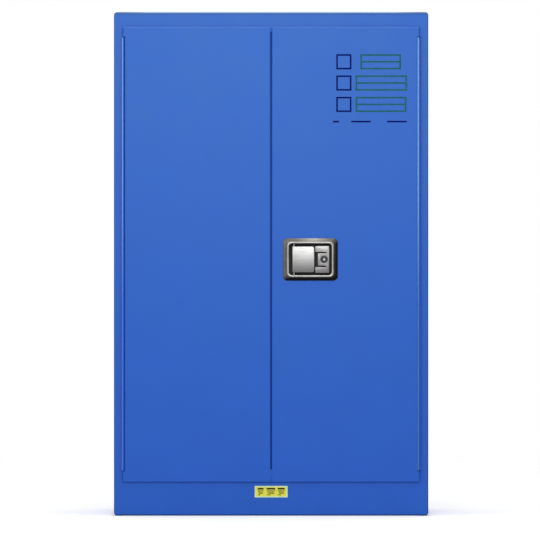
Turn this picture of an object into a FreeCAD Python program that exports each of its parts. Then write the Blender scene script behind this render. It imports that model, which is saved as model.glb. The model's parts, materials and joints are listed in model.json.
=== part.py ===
import FreeCAD, Part
import math
import os

# Two-door steel cabinet for corrosive reagents: double-walled shell, two doors on
# continuous hinges, a recessed paddle latch with a three-point lock, shelves, trays,
# levelling feet and capped side vents.  Millimetres, +Z up, the doors face -Y.
# The origin is at floor level, in the middle of the overall width and depth.

V = FreeCAD.Vector
TINY = 1e-3

# ------------------------------------------------------------ shell
overall_width = 1030.0        # over the two painted side panels
overall_height = 1650.0       # floor to the top panel
shell_depth = 440.0           # face of the front frame to the back panel
sheet = 1.2                   # every folded sheet of the shell, liner and doors
wall_depth = 38.0             # outer panel face to liner face, air gap included
top_corner_radius = 11.0
bottom_corner_radius = 7.5
foot_show = 3.0               # the foot pads reach this far below the shell
bottom_return = 30.0          # width of the flanges under the side panels
bottom_panel_height = 26.0    # underside of the shell to the bottom panel
fold_radius = 1.0             # rounding of the frame's outer front edges

# ------------------------------------------------------------ front frame
stile_width = 27.5
top_rail_height = 58.0
base_height = 118.0           # bottom of the shell to the door opening
jamb_depth = 38.0             # frame face to the stop lip
lip_width = 10.0              # stop lip above the sill and below the header
sump_depth = 60.0             # top of the sill lip to the underside of the sump floor
gasket_thickness = 2.5
gasket_width = 5.0
gasket_inset = 1.0            # gasket edge to the lip edge
gasket_clear = 0.5            # gasket to the closed door

# ------------------------------------------------------------ doors
door_proud = 11.0             # door face ahead of the frame face
door_clear = 1.0              # door skin to the frame face
door_overlap = 10.0           # skin over the top rail and the base
door_gap = 4.0                # between the two skins
skin_flange = 16.0
skin_radius = 2.5             # fold radius of the skin's front edges
pan_flange = 20.0
pan_radius = 2.0
pan_set_back = 1.5            # pan edge behind the skin edge at the centre
pan_clear = 3.0               # pan to the sill and the header
seal_thickness = 2.0
seal_width = 22.0
seal_end_inset = 30.0

# ------------------------------------------------------------ hinges
hinge_low_inset = 38.0        # lower end of the hinge to the bottom of the door skin
hinge_high_inset = 36.0       # upper end of the hinge to the top of the door skin
knuckle_count = 47
knuckle_gap = 0.3
knuckle_radius = 5.0
hinge_pin_radius = 2.9
hinge_pin_clear = 0.05
leaf_thickness = 1.2
leaf_gap = 0.6
leaf_depth = 25.0             # how far a leaf runs in behind the frame face
leaf_clear = 0.5              # leaf to the other leaf's knuckles
notch_clear = 1.5             # door skin to the knuckles
pin_head_radius = 4.2
pin_head_height = 1.0

# ------------------------------------------------------------ latch
latch_x = 128.5
latch_z = 839.5
bezel_width, bezel_height, bezel_radius = 179.0, 139.0, 15.0
rim_width, rim_height, rim_radius = 151.0, 115.0, 12.0
recess_width, recess_height, recess_radius = 139.0, 103.0, 9.0
latch_proud = 9.0             # rim ahead of the door face
bezel_base = 1.5              # flat edge of the bezel on the door
rim_step = 1.5                # the rim stands this far above the sloping band
band_margin = 2.0             # top of the sloping band outside the rim
recess_depth = 23.0           # door face to the floor of the recess
cup_wall = 2.5
cup_clear = 1.0               # cup to the cut-out in the door
paddle_width, paddle_height, paddle_thickness = 71.8, 85.4, 2.5
paddle_left = 59.0            # left edge to the middle of the latch
paddle_recess = 1.0           # paddle face ahead of the door face
paddle_return = 6.0
paddle_return_wall = 2.0
paddle_corner = 3.0
pivot_inset = 5.0             # pivot to the paddle's left edge
pivot_drop = 7.5              # pivot behind the paddle's face
barrel_radius = 4.5
barrel_length = 20.0
pivot_pin_radius = 2.0
pivot_clear = 0.08
spring_wire = 1.2
spring_turns = 9
spring_pitch = 3.4
lock_plate_left = 16.0
lock_plate_width, lock_plate_height = 45.5, 88.0
lock_plate_wall = 2.0
finger_notch_width, finger_notch_height = 8.5, 49.0
guard_slot_length, guard_slot_height = 27.5, 4.0
lock_offset = 45.0            # key plug to the middle of the latch
lock_body_radius = 11.8
lock_body_proud = 2.0         # lock body ahead of the lock plate
plug_radius = 6.5
plug_clear = 0.08
key_slot_width, key_slot_height, key_slot_depth = 1.6, 8.0, 6.0
fit_clear = 0.05              # fixed parts in their holes

# ------------------------------------------------------------ three-point lock
bolt_throw = 14.0
cam_thickness = 3.0
cam_gap = 1.0                 # cup to cam
cam_rim = 4.0
cam_pin_radius = 2.5
cam_pin_slack = 0.7           # play of each crank pin along the bolt's travel
cam_side_slack = 0.5          # play of each crank pin across the travel
layer_gap = 0.5               # between the cam, the rod yokes and the centre bolt
yoke_thickness = 4.0
yoke_rim = 2.5
yoke_inner_gap = 2.0          # yoke edge to the lock's axis
stem_width = 10.0
rod_offset = 19.0             # rod to the lock's axis
rod_radius = 4.0
stem_length = 30.0
bolt_tip_radius = 5.0
bolt_tip_length = 40.0
bolt_tip_chamfer = 2.0
bolt_hole_clear = 1.0         # bolt in the door pan's hole
keeper_width, keeper_length = 16.0, 14.0
guide_width, guide_height = 22.0, 12.0
guide_clear = 0.08            # rod in its guide
guide_spacing = 330.0
centre_guide_width = 14.0
centre_guide_inset = 16.0
centre_guide_clear = 0.3
centre_guide_wall = 3.0
strike_width, strike_height, strike_thickness = 24.0, 56.0, 1.2
strike_slot_clear = 1.5
cover_width, cover_height = 190.0, 200.0
access_width, access_height = 150.0, 160.0
cover_screw_inset = 10.0
screw_head_radius, screw_head_height = 4.5, 2.4
screw_radius, screw_length = 2.0, 7.0

# ------------------------------------------------------------ left door bolts
side_bolt_x = 40.0            # bolt to the middle of the cabinet
side_bolt_radius = 4.0
side_bolt_length = 160.0
side_bolt_stand_off = 10.0    # bolt axis to the inner face of the door
side_bolt_rest_gap = 2.0      # tip to the lip with the bolt drawn
side_guide_width, side_guide_height = 26.0, 14.0
side_guide_inset = 22.0       # guide to the end of the bolt
side_guide_rim = 3.0
knob_radius, knob_length = 4.5, 15.0

# ------------------------------------------------------------ shelves and trays
pilaster_width, pilaster_depth = 20.0, 5.0
pilaster_sheet = 1.2
pilaster_front_y, pilaster_rear_y = -100.0, 140.0
pilaster_low_gap = 49.0       # sill lip to the pilasters
pilaster_high_gap = 52.0      # pilasters to the liner's top
slot_pitch = 50.0
slot_width, slot_height = 10.0, 5.0
first_shelf_rise = 469.0      # sill lip to the lower shelf
shelf_spacing = 490.0
shelf_side_gap = 3.0          # shelf to the pilasters
shelf_front_y = -135.0
shelf_back_gap = 7.0
shelf_lip = 25.0
shelf_hem = 14.0
clip_width, clip_reach, clip_height = 16.0, 20.0, 34.0
clip_thickness = 2.0
rest_gap = 0.3                # between pieces that rest on each other
tray_height, tray_wall, tray_radius = 45.0, 4.0, 18.0
tray_margin = 10.0            # tray edge to the edge of its shelf
tray_rim = 6.0
sump_tray_margin = 7.0
sump_tray_front_gap = 18.0    # room for the left door's lower bolt

# ------------------------------------------------------------ feet
foot_inset_x, foot_inset_y = 62.0, 55.0
foot_pad_radius, foot_pad_height = 20.0, 8.0
foot_pad_edge = 1.5
foot_hex_flats, foot_hex_height = 17.0, 5.0
foot_stud_radius, foot_stud_length = 5.0, 44.0
foot_thread_clear = 0.08
foot_panel_clear = 1.5
bracket_size, bracket_thickness = 76.0, 4.0
bracket_hub_radius = 12.0

# ------------------------------------------------------------ vents and earth point
vent_y = 40.0
vent_low_rise = 119.0         # sill lip to the low vent
vent_high_drop = 132.0        # high vent to the liner's top
vent_bore_radius, vent_wall = 25.0, 4.0
vent_inside = 6.0             # how far the bushing stands into the cabinet
vent_nut_radius, vent_nut_thickness = 37.0, 4.0
cap_flange_radius, cap_flange_thickness = 34.0, 2.5
cap_plug_length, cap_wall = 18.0, 3.0
cap_clear = 0.3
cap_slot_width, cap_slot_depth = 5.0, 1.4
screen_thickness = 2.0
screen_hole_radius, screen_hole_pitch = 2.2, 6.4
screen_edge = 2.0
earth_inset = 50.0            # earth point to the back
earth_z = 60.0
earth_flats = 14.0
earth_proud, earth_depth = 2.0, 16.0
earth_hole_radius, earth_hole_depth = 2.5, 14.0

# ------------------------------------------------------------ rating plate
plate_width, plate_height, plate_thickness = 108.0, 38.0, 0.6
plate_z = 79.0
plate_corner = 2.0

# ------------------------------------------------------------ derived planes
half_width = overall_width / 2
rim_front_y = -(shell_depth + door_proud + latch_proud) / 2
door_front_y = rim_front_y + latch_proud
frame_front_y = door_front_y + door_proud
frame_back_y = frame_front_y + sheet
back_y = frame_front_y + shell_depth
back_panel_y = back_y - sheet
shell_bottom_z = foot_show
bottom_panel_z = shell_bottom_z + bottom_panel_height

opening_half = half_width - stile_width
opening_top_z = overall_height - top_rail_height
opening_bottom_z = shell_bottom_z + base_height
lip_front_y = frame_front_y + jamb_depth
lip_back_y = lip_front_y + sheet
sill_lip_z = opening_bottom_z + lip_width
header_lip_z = opening_top_z - lip_width
sump_bottom_z = sill_lip_z - sump_depth

liner_half = half_width - wall_depth
liner_top_z = overall_height - wall_depth
liner_back_y = back_y - wall_depth

skin_back_y = frame_front_y - door_clear
skin_top_z = opening_top_z + door_overlap
skin_bottom_z = opening_bottom_z - door_overlap
skin_free_x = door_gap / 2
pan_back_y = lip_front_y - gasket_thickness - gasket_clear
pan_wall_y = pan_back_y - sheet
pan_top_z = opening_top_z - pan_clear
pan_bottom_z = opening_bottom_z + pan_clear
pan_free_x = skin_free_x + pan_set_back

hinge_x = opening_half - leaf_thickness - leaf_gap / 2
hinge_y = door_front_y + knuckle_radius
hinge_bottom_z = skin_bottom_z + hinge_low_inset
hinge_top_z = skin_top_z - hinge_high_inset
leaf_end_y = frame_front_y + leaf_depth
pan_hinge_x = hinge_x - leaf_gap / 2 - leaf_thickness
skin_hinge_x = hinge_x - leaf_gap / 2
skin_notch_x = hinge_x - knuckle_radius - notch_clear
knuckle_bore = hinge_pin_radius + hinge_pin_clear

recess_floor_y = door_front_y + recess_depth
cup_back_y = recess_floor_y + cup_wall
lock_x = latch_x + lock_offset
paddle_front_y = door_front_y - paddle_recess
paddle_x = latch_x - paddle_left
pivot_x = paddle_x + pivot_inset
pivot_y = paddle_front_y + pivot_drop
cam_front_y = cup_back_y + cam_gap
cam_back_y = cam_front_y + cam_thickness
yoke_front_y = cam_back_y + layer_gap
yoke_back_y = yoke_front_y + yoke_thickness
rod_y = (yoke_front_y + yoke_back_y) / 2
centre_front_y = yoke_back_y + layer_gap
centre_back_y = centre_front_y + yoke_thickness
crank_radius = bolt_throw / math.sqrt(2)
crank_side = bolt_throw / 2

side_bolt_y = pan_back_y + side_bolt_stand_off
shelf_half = liner_half - pilaster_depth - shelf_side_gap
shelf_back_y = liner_back_y - shelf_back_gap
pilaster_ys = (pilaster_front_y, pilaster_rear_y)
pilaster_bottom_z = sill_lip_z + pilaster_low_gap
pilaster_top_z = liner_top_z - pilaster_high_gap
shelf_heights = (sill_lip_z + first_shelf_rise, sill_lip_z + first_shelf_rise + shelf_spacing)
vent_low_z = sill_lip_z + vent_low_rise
vent_high_z = liner_top_z - vent_high_drop
earth_y = back_y - earth_inset
foot_x = half_width - foot_inset_x
foot_ys = (frame_front_y + foot_inset_y, back_y - foot_inset_y)
hub_bottom_z = foot_pad_height + foot_hex_height + rest_gap


# ------------------------------------------------------------ shape helpers
def box(x0, x1, y0, y1, z0, z1):
    return Part.makeBox(x1 - x0, y1 - y0, z1 - z0, V(x0, y0, z0))


def rod_x(x0, x1, y, z, radius):
    return Part.makeCylinder(radius, x1 - x0, V(x0, y, z), V(1, 0, 0))


def rod_along_y(x, y0, y1, z, radius):
    return Part.makeCylinder(radius, y1 - y0, V(x, y0, z), V(0, 1, 0))


def rod_z(x, y, z0, z1, radius):
    return Part.makeCylinder(radius, z1 - z0, V(x, y, z0), V(0, 0, 1))


def hexagon(centre, axis, flats, height):
    """A hexagonal prism that stands on centre and rises along axis."""
    corner = flats / math.sqrt(3)
    turns = [math.radians(60 * k) for k in range(7)]
    points = [V(corner * math.cos(a), corner * math.sin(a), 0) for a in turns]
    prism = Part.Face(Part.makePolygon(points)).extrude(V(0, 0, height))
    prism.Placement = FreeCAD.Placement(centre, FreeCAD.Rotation(V(0, 0, 1), axis))
    return prism


def fuse(shapes):
    return shapes[0].multiFuse(shapes[1:]).removeSplitter()


def cut(shape, tools):
    return shape.cut(Part.makeCompound(tools))


def mirror_x(shape):
    return shape.mirror(V(0, 0, 0), V(1, 0, 0))


def edges_along(shape, axis):
    """Straight edges that run along one axis."""
    found = []
    for edge in shape.Edges:
        if isinstance(edge.Curve, (Part.Line, Part.LineSegment)):
            direction = edge.tangentAt(edge.FirstParameter)
            if abs(direction.dot(axis)) > 1 - TINY:
                found.append(edge)
    return found


def edges_at_y(shape, y):
    """Edges that lie in the plane of the given y."""
    return [e for e in shape.Edges
            if abs(e.BoundBox.YMin - y) < TINY and abs(e.BoundBox.YMax - y) < TINY]


def edges_at_z(shape, z):
    """Edges that lie in the plane of the given z."""
    return [e for e in shape.Edges
            if abs(e.BoundBox.ZMin - z) < TINY and abs(e.BoundBox.ZMax - z) < TINY]


def round_along_y(shape, radius, above=None, below=None):
    """Round the edges along Y, all of them or those above or below a height."""
    picked = [e for e in edges_along(shape, V(0, 1, 0))
              if (above is None or e.CenterOfMass.z > above)
              and (below is None or e.CenterOfMass.z < below)]
    return shape.makeFillet(radius, picked)


def plaque(x, z, width, height, y0, y1, radius):
    """A plate with rounded corners that faces the front."""
    plate = box(x - width / 2, x + width / 2, y0, y1, z - height / 2, z + height / 2)
    return plate.makeFillet(radius, edges_along(plate, V(0, 1, 0)))


def plaque_wire(x, z, width, height, y, radius):
    """The outline of a plaque at one y."""
    block = plaque(x, z, width, height, y, y + 1, radius)
    flat = [w for w in block.Wires if w.BoundBox.YLength < TINY]
    return min(flat, key=lambda wire: wire.BoundBox.YMin)


def shell_outline(y0, y1, inset=0.0):
    """The cabinet's outline from the front, inset all round, as a solid."""
    edge = half_width - inset
    block = box(-edge, edge, y0, y1, shell_bottom_z + inset, overall_height - inset)
    middle = overall_height / 2
    block = round_along_y(block, top_corner_radius - inset, above=middle)
    return round_along_y(block, bottom_corner_radius - inset, below=middle)


# ------------------------------------------------------------ shell
def vent_places():
    """Side, height: a low vent on the left and a high one on the right."""
    return ((-1, vent_low_z), (1, vent_high_z))


def vent_hole(side, z, x0, x1):
    radius = vent_bore_radius + vent_wall + fit_clear
    low, high = sorted((side * x0, side * x1))
    return rod_x(low, high, vent_y, z, radius)


def outer_wrap():
    tube = cut(shell_outline(frame_back_y, back_panel_y),
               [shell_outline(frame_back_y - sheet, back_panel_y + sheet, sheet)])
    flange_edge = half_width - bottom_return
    holes = [box(-flange_edge, flange_edge, frame_back_y - sheet, back_y,
                 shell_bottom_z - sheet, shell_bottom_z + 2 * sheet)]
    holes += [vent_hole(side, z, half_width - 2 * sheet, half_width + sheet)
              for side, z in vent_places()]
    holes.append(hexagon(V(-half_width - sheet, earth_y, earth_z), V(1, 0, 0),
                         earth_flats + 2 * fit_clear, 3 * sheet))
    return cut(tube, holes)


def outer_back():
    return shell_outline(back_panel_y, back_y)


def outer_bottom():
    edge = half_width - sheet
    panel = box(-edge, edge, frame_back_y, back_panel_y, bottom_panel_z, bottom_panel_z + sheet)
    holes = [rod_z(side * foot_x, y, bottom_panel_z - sheet, bottom_panel_z + 2 * sheet,
                   foot_stud_radius + foot_panel_clear)
             for side in (-1, 1) for y in foot_ys]
    return cut(panel, holes)


def front_plate(z0, z1):
    """The part of the frame's front face between two heights, full width."""
    plate = shell_outline(frame_front_y, frame_back_y)
    plate = plate.makeFillet(fold_radius, edges_at_y(plate, frame_front_y))
    return plate.common(box(-half_width, half_width, frame_front_y, frame_back_y, z0, z1))


def right_stile():
    face = front_plate(opening_bottom_z, opening_top_z)
    face = face.common(box(opening_half, half_width, frame_front_y, frame_back_y,
                           opening_bottom_z, opening_top_z))
    jamb = box(opening_half, opening_half + sheet, frame_back_y, lip_back_y,
               opening_bottom_z, opening_top_z)
    lip = box(liner_half, opening_half, lip_front_y, lip_back_y, sill_lip_z, header_lip_z)
    return [face, jamb, lip]


def keeper_holes(z):
    """Slots in the rail that starts or ends at z, for the right door's rods."""
    x = lock_x + (rod_offset if z > latch_z else -rod_offset)
    return [box(x - keeper_width / 2, x + keeper_width / 2,
                rod_y - keeper_length / 2, rod_y + keeper_length / 2, z - 2 * sheet, z + 2 * sheet)]


def top_rail():
    face = front_plate(opening_top_z, overall_height)
    edge = opening_half + sheet
    soffit = box(-edge, edge, frame_back_y, lip_front_y, opening_top_z, opening_top_z + sheet)
    header = box(-opening_half, opening_half, lip_front_y, lip_back_y, header_lip_z, liner_top_z + sheet)
    return [face, cut(soffit, keeper_holes(opening_top_z)), header]


def bottom_rail():
    face = front_plate(shell_bottom_z, opening_bottom_z)
    edge = opening_half + sheet
    sill = box(-edge, edge, frame_back_y, lip_front_y, opening_bottom_z - sheet, opening_bottom_z)
    upstand = box(-opening_half, opening_half, lip_front_y, lip_back_y, sump_bottom_z, sill_lip_z)
    return [face, cut(sill, keeper_holes(opening_bottom_z)), upstand]


# ------------------------------------------------------------ liner
def liner_side(side):
    panel = box(liner_half, liner_half + sheet, lip_back_y, liner_back_y,
                sump_bottom_z, liner_top_z + sheet)
    panel = panel if side > 0 else mirror_x(panel)
    holes = [vent_hole(side, z, liner_half - sheet, liner_half + 2 * sheet)
             for vent_side, z in vent_places() if vent_side == side]
    return cut(panel, holes)


def liner_back():
    edge = liner_half + sheet
    return box(-edge, edge, liner_back_y, liner_back_y + sheet, sump_bottom_z, liner_top_z + sheet)


def liner_top():
    return box(-liner_half, liner_half, lip_back_y, liner_back_y, liner_top_z, liner_top_z + sheet)


def sump_pan():
    """Floor, front wall, back wall and two end walls, welded at their edges."""
    floor_z = sump_bottom_z + sheet
    inner_x = liner_half - sheet
    floor = box(-liner_half, liner_half, lip_back_y, liner_back_y, sump_bottom_z, floor_z)
    front = box(-inner_x, inner_x, lip_back_y, lip_back_y + sheet, floor_z, sill_lip_z)
    back = box(-inner_x, inner_x, liner_back_y - sheet, liner_back_y, floor_z, sill_lip_z)
    end = box(inner_x, liner_half, lip_back_y, liner_back_y, floor_z, sill_lip_z)
    return [floor, front, back, end, mirror_x(end)]


def frame_gasket():
    outer_x = liner_half + gasket_inset + gasket_width
    low_z, high_z = sill_lip_z - gasket_inset, header_lip_z + gasket_inset
    y0, y1 = lip_front_y - gasket_thickness, lip_front_y
    strips = [box(-outer_x, outer_x, y0, y1, low_z - gasket_width, low_z),
              box(-outer_x, outer_x, y0, y1, high_z, high_z + gasket_width)]
    side = box(outer_x - gasket_width, outer_x, y0, y1, low_z, high_z)
    return strips + [side, mirror_x(side)]


# ------------------------------------------------------------ hinges
def hinge_leaf(owner):
    """One leaf of the right hinge: owner 0 is the frame's, owner 1 the door's."""
    away = 1 if owner == 0 else -1
    plate_x = sorted((hinge_x + away * leaf_gap / 2, hinge_x + away * (leaf_gap / 2 + leaf_thickness)))
    plate_y = hinge_y + knuckle_radius + leaf_clear
    pieces = [box(*plate_x, plate_y, leaf_end_y, hinge_bottom_z, hinge_top_z)]
    pitch = (hinge_top_z - hinge_bottom_z) / knuckle_count
    for index in range(owner, knuckle_count, 2):
        z0 = hinge_bottom_z + index * pitch + knuckle_gap / 2
        z1 = z0 + pitch - knuckle_gap
        knuckle = rod_z(hinge_x, hinge_y, z0, z1, knuckle_radius)
        pieces.append(knuckle.fuse(box(*plate_x, hinge_y, plate_y, z0, z1)))
    bore = rod_z(hinge_x, hinge_y, hinge_bottom_z - sheet, hinge_top_z + sheet, knuckle_bore)
    return cut(fuse(pieces), [bore])


def hinge_pin():
    pin = rod_z(hinge_x, hinge_y, hinge_bottom_z - rest_gap, hinge_top_z + rest_gap, hinge_pin_radius)
    low = rod_z(hinge_x, hinge_y, hinge_bottom_z - rest_gap - pin_head_height,
                hinge_bottom_z - rest_gap, pin_head_radius)
    high = rod_z(hinge_x, hinge_y, hinge_top_z + rest_gap,
                 hinge_top_z + rest_gap + pin_head_height, pin_head_radius)
    return fuse([low, pin, high])


# ------------------------------------------------------------ doors
def skin_block(y0, y1, inset):
    """The door skin's outline, notched for the hinge, as a solid."""
    notch_low = hinge_bottom_z - notch_clear - pin_head_height
    notch_high = hinge_top_z + notch_clear + pin_head_height
    low, high = skin_bottom_z + inset, skin_top_z - inset
    left = skin_free_x + inset
    right = skin_hinge_x - inset
    return fuse([box(left, skin_notch_x - inset, y0, y1, low, high),
                 box(left, right, y0, y1, low, notch_low - inset),
                 box(left, right, y0, y1, notch_high + inset, high)])


def door_skin():
    block = skin_block(door_front_y, skin_back_y, 0.0)
    block = block.makeFillet(skin_radius, edges_at_y(block, door_front_y))
    hollow = skin_block(door_front_y + sheet, skin_back_y - sheet, sheet)
    hollow = hollow.makeFillet(skin_radius - sheet, edges_at_y(hollow, door_front_y + sheet))
    back_hole = box(skin_free_x + skin_flange, skin_notch_x - skin_flange,
                    skin_back_y - 2 * sheet, skin_back_y + sheet,
                    skin_bottom_z + skin_flange, skin_top_z - skin_flange)
    return cut(block, [hollow, back_hole])


def latch_cut_out():
    width = recess_width + 2 * (cup_wall + cup_clear)
    height = recess_height + 2 * (cup_wall + cup_clear)
    return plaque(latch_x, latch_z, width, height, door_front_y - sheet,
                  door_front_y + 2 * sheet, recess_radius + cup_wall)


def right_door_skin():
    return cut(door_skin(), [latch_cut_out()])


def door_pan():
    block = box(pan_free_x, pan_hinge_x, skin_back_y, pan_back_y, pan_bottom_z, pan_top_z)
    block = block.makeFillet(pan_radius, edges_at_y(block, pan_back_y))
    hollow = box(pan_free_x + sheet, pan_hinge_x - sheet, skin_back_y + sheet, pan_wall_y,
                 pan_bottom_z + sheet, pan_top_z - sheet)
    hollow = hollow.makeFillet(pan_radius - sheet, edges_at_y(hollow, pan_wall_y))
    front_hole = box(pan_free_x + pan_flange, pan_hinge_x - pan_flange,
                     skin_back_y - sheet, skin_back_y + 2 * sheet,
                     pan_bottom_z + pan_flange, pan_top_z - pan_flange)
    return cut(block, [hollow, front_hole])


def bolt_slot(x0, x1):
    """The slot that the centre bolt passes through, between two x planes."""
    return box(x0, x1, centre_front_y - strike_slot_clear, centre_back_y + strike_slot_clear,
               centre_bolt_low() - strike_slot_clear, centre_bolt_high() + strike_slot_clear)


def cover_screw_places():
    half_x = cover_width / 2 - cover_screw_inset
    half_z = cover_height / 2 - cover_screw_inset
    return [(latch_x + sx * half_x, latch_z + sz * half_z) for sx in (-1, 1) for sz in (-1, 1)]


def right_door_pan():
    hole = bolt_tip_radius + bolt_hole_clear
    holes = [rod_z(lock_x + rod_offset, rod_y, pan_top_z - 2 * sheet, pan_top_z + sheet, hole),
             rod_z(lock_x - rod_offset, rod_y, pan_bottom_z - sheet, pan_bottom_z + 2 * sheet, hole),
             bolt_slot(pan_free_x - sheet, pan_free_x + 2 * sheet),
             plaque(latch_x, latch_z, access_width, access_height, pan_wall_y - sheet,
                    pan_back_y + sheet, recess_radius)]
    holes += [rod_along_y(x, pan_wall_y - sheet, pan_back_y + sheet, z, screw_radius + fit_clear)
              for x, z in cover_screw_places()]
    return cut(door_pan(), holes)


def left_door_pan():
    return cut(mirror_x(door_pan()), [bolt_slot(-pan_free_x - 2 * sheet, -pan_free_x + sheet)])


def left_strike():
    middle_y = (centre_front_y + centre_back_y) / 2
    middle_z = (centre_bolt_low() + centre_bolt_high()) / 2
    plate = box(-pan_free_x, -pan_free_x + strike_thickness,
                middle_y - strike_width / 2, middle_y + strike_width / 2 - pan_radius,
                middle_z - strike_height / 2, middle_z + strike_height / 2)
    return cut(plate, [bolt_slot(-pan_free_x - sheet, 0)])


def left_door_seal():
    middle_y = (skin_back_y + pan_back_y) / 2
    middle_z = (centre_bolt_low() + centre_bolt_high()) / 2
    spans = [(pan_bottom_z + seal_end_inset, middle_z - strike_height / 2),
             (middle_z + strike_height / 2, pan_top_z - seal_end_inset)]
    return [box(-pan_free_x, -pan_free_x + seal_thickness,
                middle_y - seal_width / 2, middle_y + seal_width / 2, z0, z1) for z0, z1 in spans]


# ------------------------------------------------------------ latch
def latch_bezel():
    base = plaque(latch_x, latch_z, bezel_width, bezel_height,
                  door_front_y - bezel_base, door_front_y, bezel_radius)
    band_top_y = rim_front_y + rim_step
    outer = plaque_wire(latch_x, latch_z, bezel_width, bezel_height,
                        door_front_y - bezel_base, bezel_radius)
    inner = plaque_wire(latch_x, latch_z, rim_width + 2 * band_margin,
                        rim_height + 2 * band_margin, band_top_y, rim_radius + band_margin)
    band = Part.makeLoft([outer, inner], True, True)
    rim = plaque(latch_x, latch_z, rim_width, rim_height, rim_front_y, door_front_y, rim_radius)
    rim = rim.makeFillet(rim_step / 2, edges_at_y(rim, rim_front_y))
    cup = plaque(latch_x, latch_z, recess_width + 2 * cup_wall, recess_height + 2 * cup_wall,
                 door_front_y, cup_back_y, recess_radius + cup_wall)
    recess = plaque(latch_x, latch_z, recess_width, recess_height,
                    rim_front_y - cup_wall, recess_floor_y, recess_radius)
    holes = [recess,
             rod_along_y(lock_x, recess_floor_y - cup_wall, cup_back_y + cup_wall, latch_z,
                         lock_body_radius + fit_clear),
             rod_z(pivot_x, pivot_y, latch_z - recess_height / 2 - 2 * cup_wall,
                   latch_z + recess_height / 2 + 2 * cup_wall, pivot_pin_radius + fit_clear)]
    return cut(fuse([base, band, rim, cup]), holes)


def paddle_pin():
    reach = recess_height / 2 + cup_wall
    return rod_z(pivot_x, pivot_y, latch_z - reach, latch_z + reach, pivot_pin_radius)


def latch_paddle():
    middle_x = paddle_x + paddle_width / 2
    back_y = paddle_front_y + paddle_thickness
    block = plaque(middle_x, latch_z, paddle_width, paddle_height, paddle_front_y,
                   back_y + paddle_return, paddle_corner)
    block = block.makeFillet(paddle_return_wall / 2, edges_at_y(block, paddle_front_y))
    wall = paddle_return_wall
    hollow = box(paddle_x - wall, paddle_x + paddle_width - wall, back_y, back_y + 2 * paddle_return,
                 latch_z - paddle_height / 2 + wall, latch_z + paddle_height / 2 - wall)
    shell = cut(block, [hollow])
    pieces = [shell]
    bore_tools = []
    for side in (-1, 1):
        outer_z = latch_z + side * paddle_height / 2
        z0, z1 = sorted((outer_z, outer_z - side * barrel_length))
        pieces.append(rod_z(pivot_x, pivot_y, z0, z1, barrel_radius))
        pieces.append(box(pivot_x - barrel_radius, pivot_x + barrel_radius, back_y, pivot_y, z0, z1))
        bore_tools.append(rod_z(pivot_x, pivot_y, z0 - 1, z1 + 1, pivot_pin_radius + pivot_clear))
    return cut(fuse(pieces), bore_tools)


def paddle_spring():
    """Coil round the pivot pin with one leg on the recess floor."""
    coil_radius = pivot_pin_radius + spring_wire / 2 + pivot_clear
    height = spring_turns * spring_pitch
    start_z = latch_z - height / 2
    helix = Part.makeHelix(spring_pitch, height, coil_radius)
    helix.Placement.Base = V(pivot_x, pivot_y, start_z)
    start = V(pivot_x + coil_radius, pivot_y, start_z)
    section = Part.Wire(Part.makeCircle(spring_wire / 2, start, V(0, 1, 0)))
    coil = Part.Wire(helix).makePipeShell([section], True, True)
    leg = rod_along_y(start.x, pivot_y, recess_floor_y, start_z, spring_wire / 2)
    return fuse([coil, leg])


def lock_plate():
    x0 = latch_x + lock_plate_left
    x1 = x0 + lock_plate_width
    z0, z1 = latch_z - lock_plate_height / 2, latch_z + lock_plate_height / 2
    block = plaque((x0 + x1) / 2, latch_z, lock_plate_width, lock_plate_height,
                   paddle_front_y, recess_floor_y, paddle_corner)
    block = block.makeFillet(lock_plate_wall / 2, edges_at_y(block, paddle_front_y))
    wall = lock_plate_wall
    notch_x = x0 + finger_notch_width
    half_notch = finger_notch_height / 2
    slot_end = notch_x + guard_slot_length
    tools = [box(x0 + wall, x1 - wall, paddle_front_y + wall, recess_floor_y + wall,
                 z0 + wall, z1 - wall),
             box(x0 - wall, notch_x, paddle_front_y - wall, recess_floor_y + wall,
                 latch_z - half_notch, latch_z + half_notch),
             rod_along_y(lock_x, paddle_front_y - wall, paddle_front_y + 2 * wall, latch_z,
                         lock_body_radius + fit_clear)]
    for side in (-1, 1):
        edge = latch_z + side * half_notch
        low, high = sorted((edge, edge - side * guard_slot_height))
        tools.append(box(x0 - wall, slot_end, paddle_front_y - wall, paddle_front_y + 2 * wall,
                         low, high))
    return cut(block, tools)


def lock_cylinder():
    front_y = paddle_front_y - lock_body_proud
    body = rod_along_y(lock_x, front_y, cup_back_y, latch_z, lock_body_radius)
    body = body.makeChamfer(lock_body_proud / 2, edges_at_y(body, front_y))
    bore = rod_along_y(lock_x, front_y - 1, cup_back_y + 1, latch_z, plug_radius + plug_clear)
    return cut(body, [bore])


def lock_plug():
    front_y = paddle_front_y - lock_body_proud
    plug = rod_along_y(lock_x, front_y, cam_front_y, latch_z, plug_radius)
    slot = box(lock_x - key_slot_width / 2, lock_x + key_slot_width / 2,
               front_y - 1, front_y + key_slot_depth,
               latch_z - key_slot_height / 2, latch_z + key_slot_height / 2)
    return cut(plug, [slot])


def crank_place(degrees):
    turn = math.radians(degrees)
    return lock_x + crank_radius * math.cos(turn), latch_z + crank_radius * math.sin(turn)


def lock_cam():
    """Disc on the key plug with one crank pin for each of the three bolts."""
    disc = rod_along_y(lock_x, cam_front_y, cam_back_y, latch_z, crank_radius + cam_rim)
    pins = []
    for degrees, end_y in ((-45, yoke_back_y), (135, yoke_back_y), (45, centre_back_y)):
        x, z = crank_place(degrees)
        pins.append(rod_along_y(x, cam_back_y, end_y, z, cam_pin_radius))
    return fuse([disc] + pins)


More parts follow.
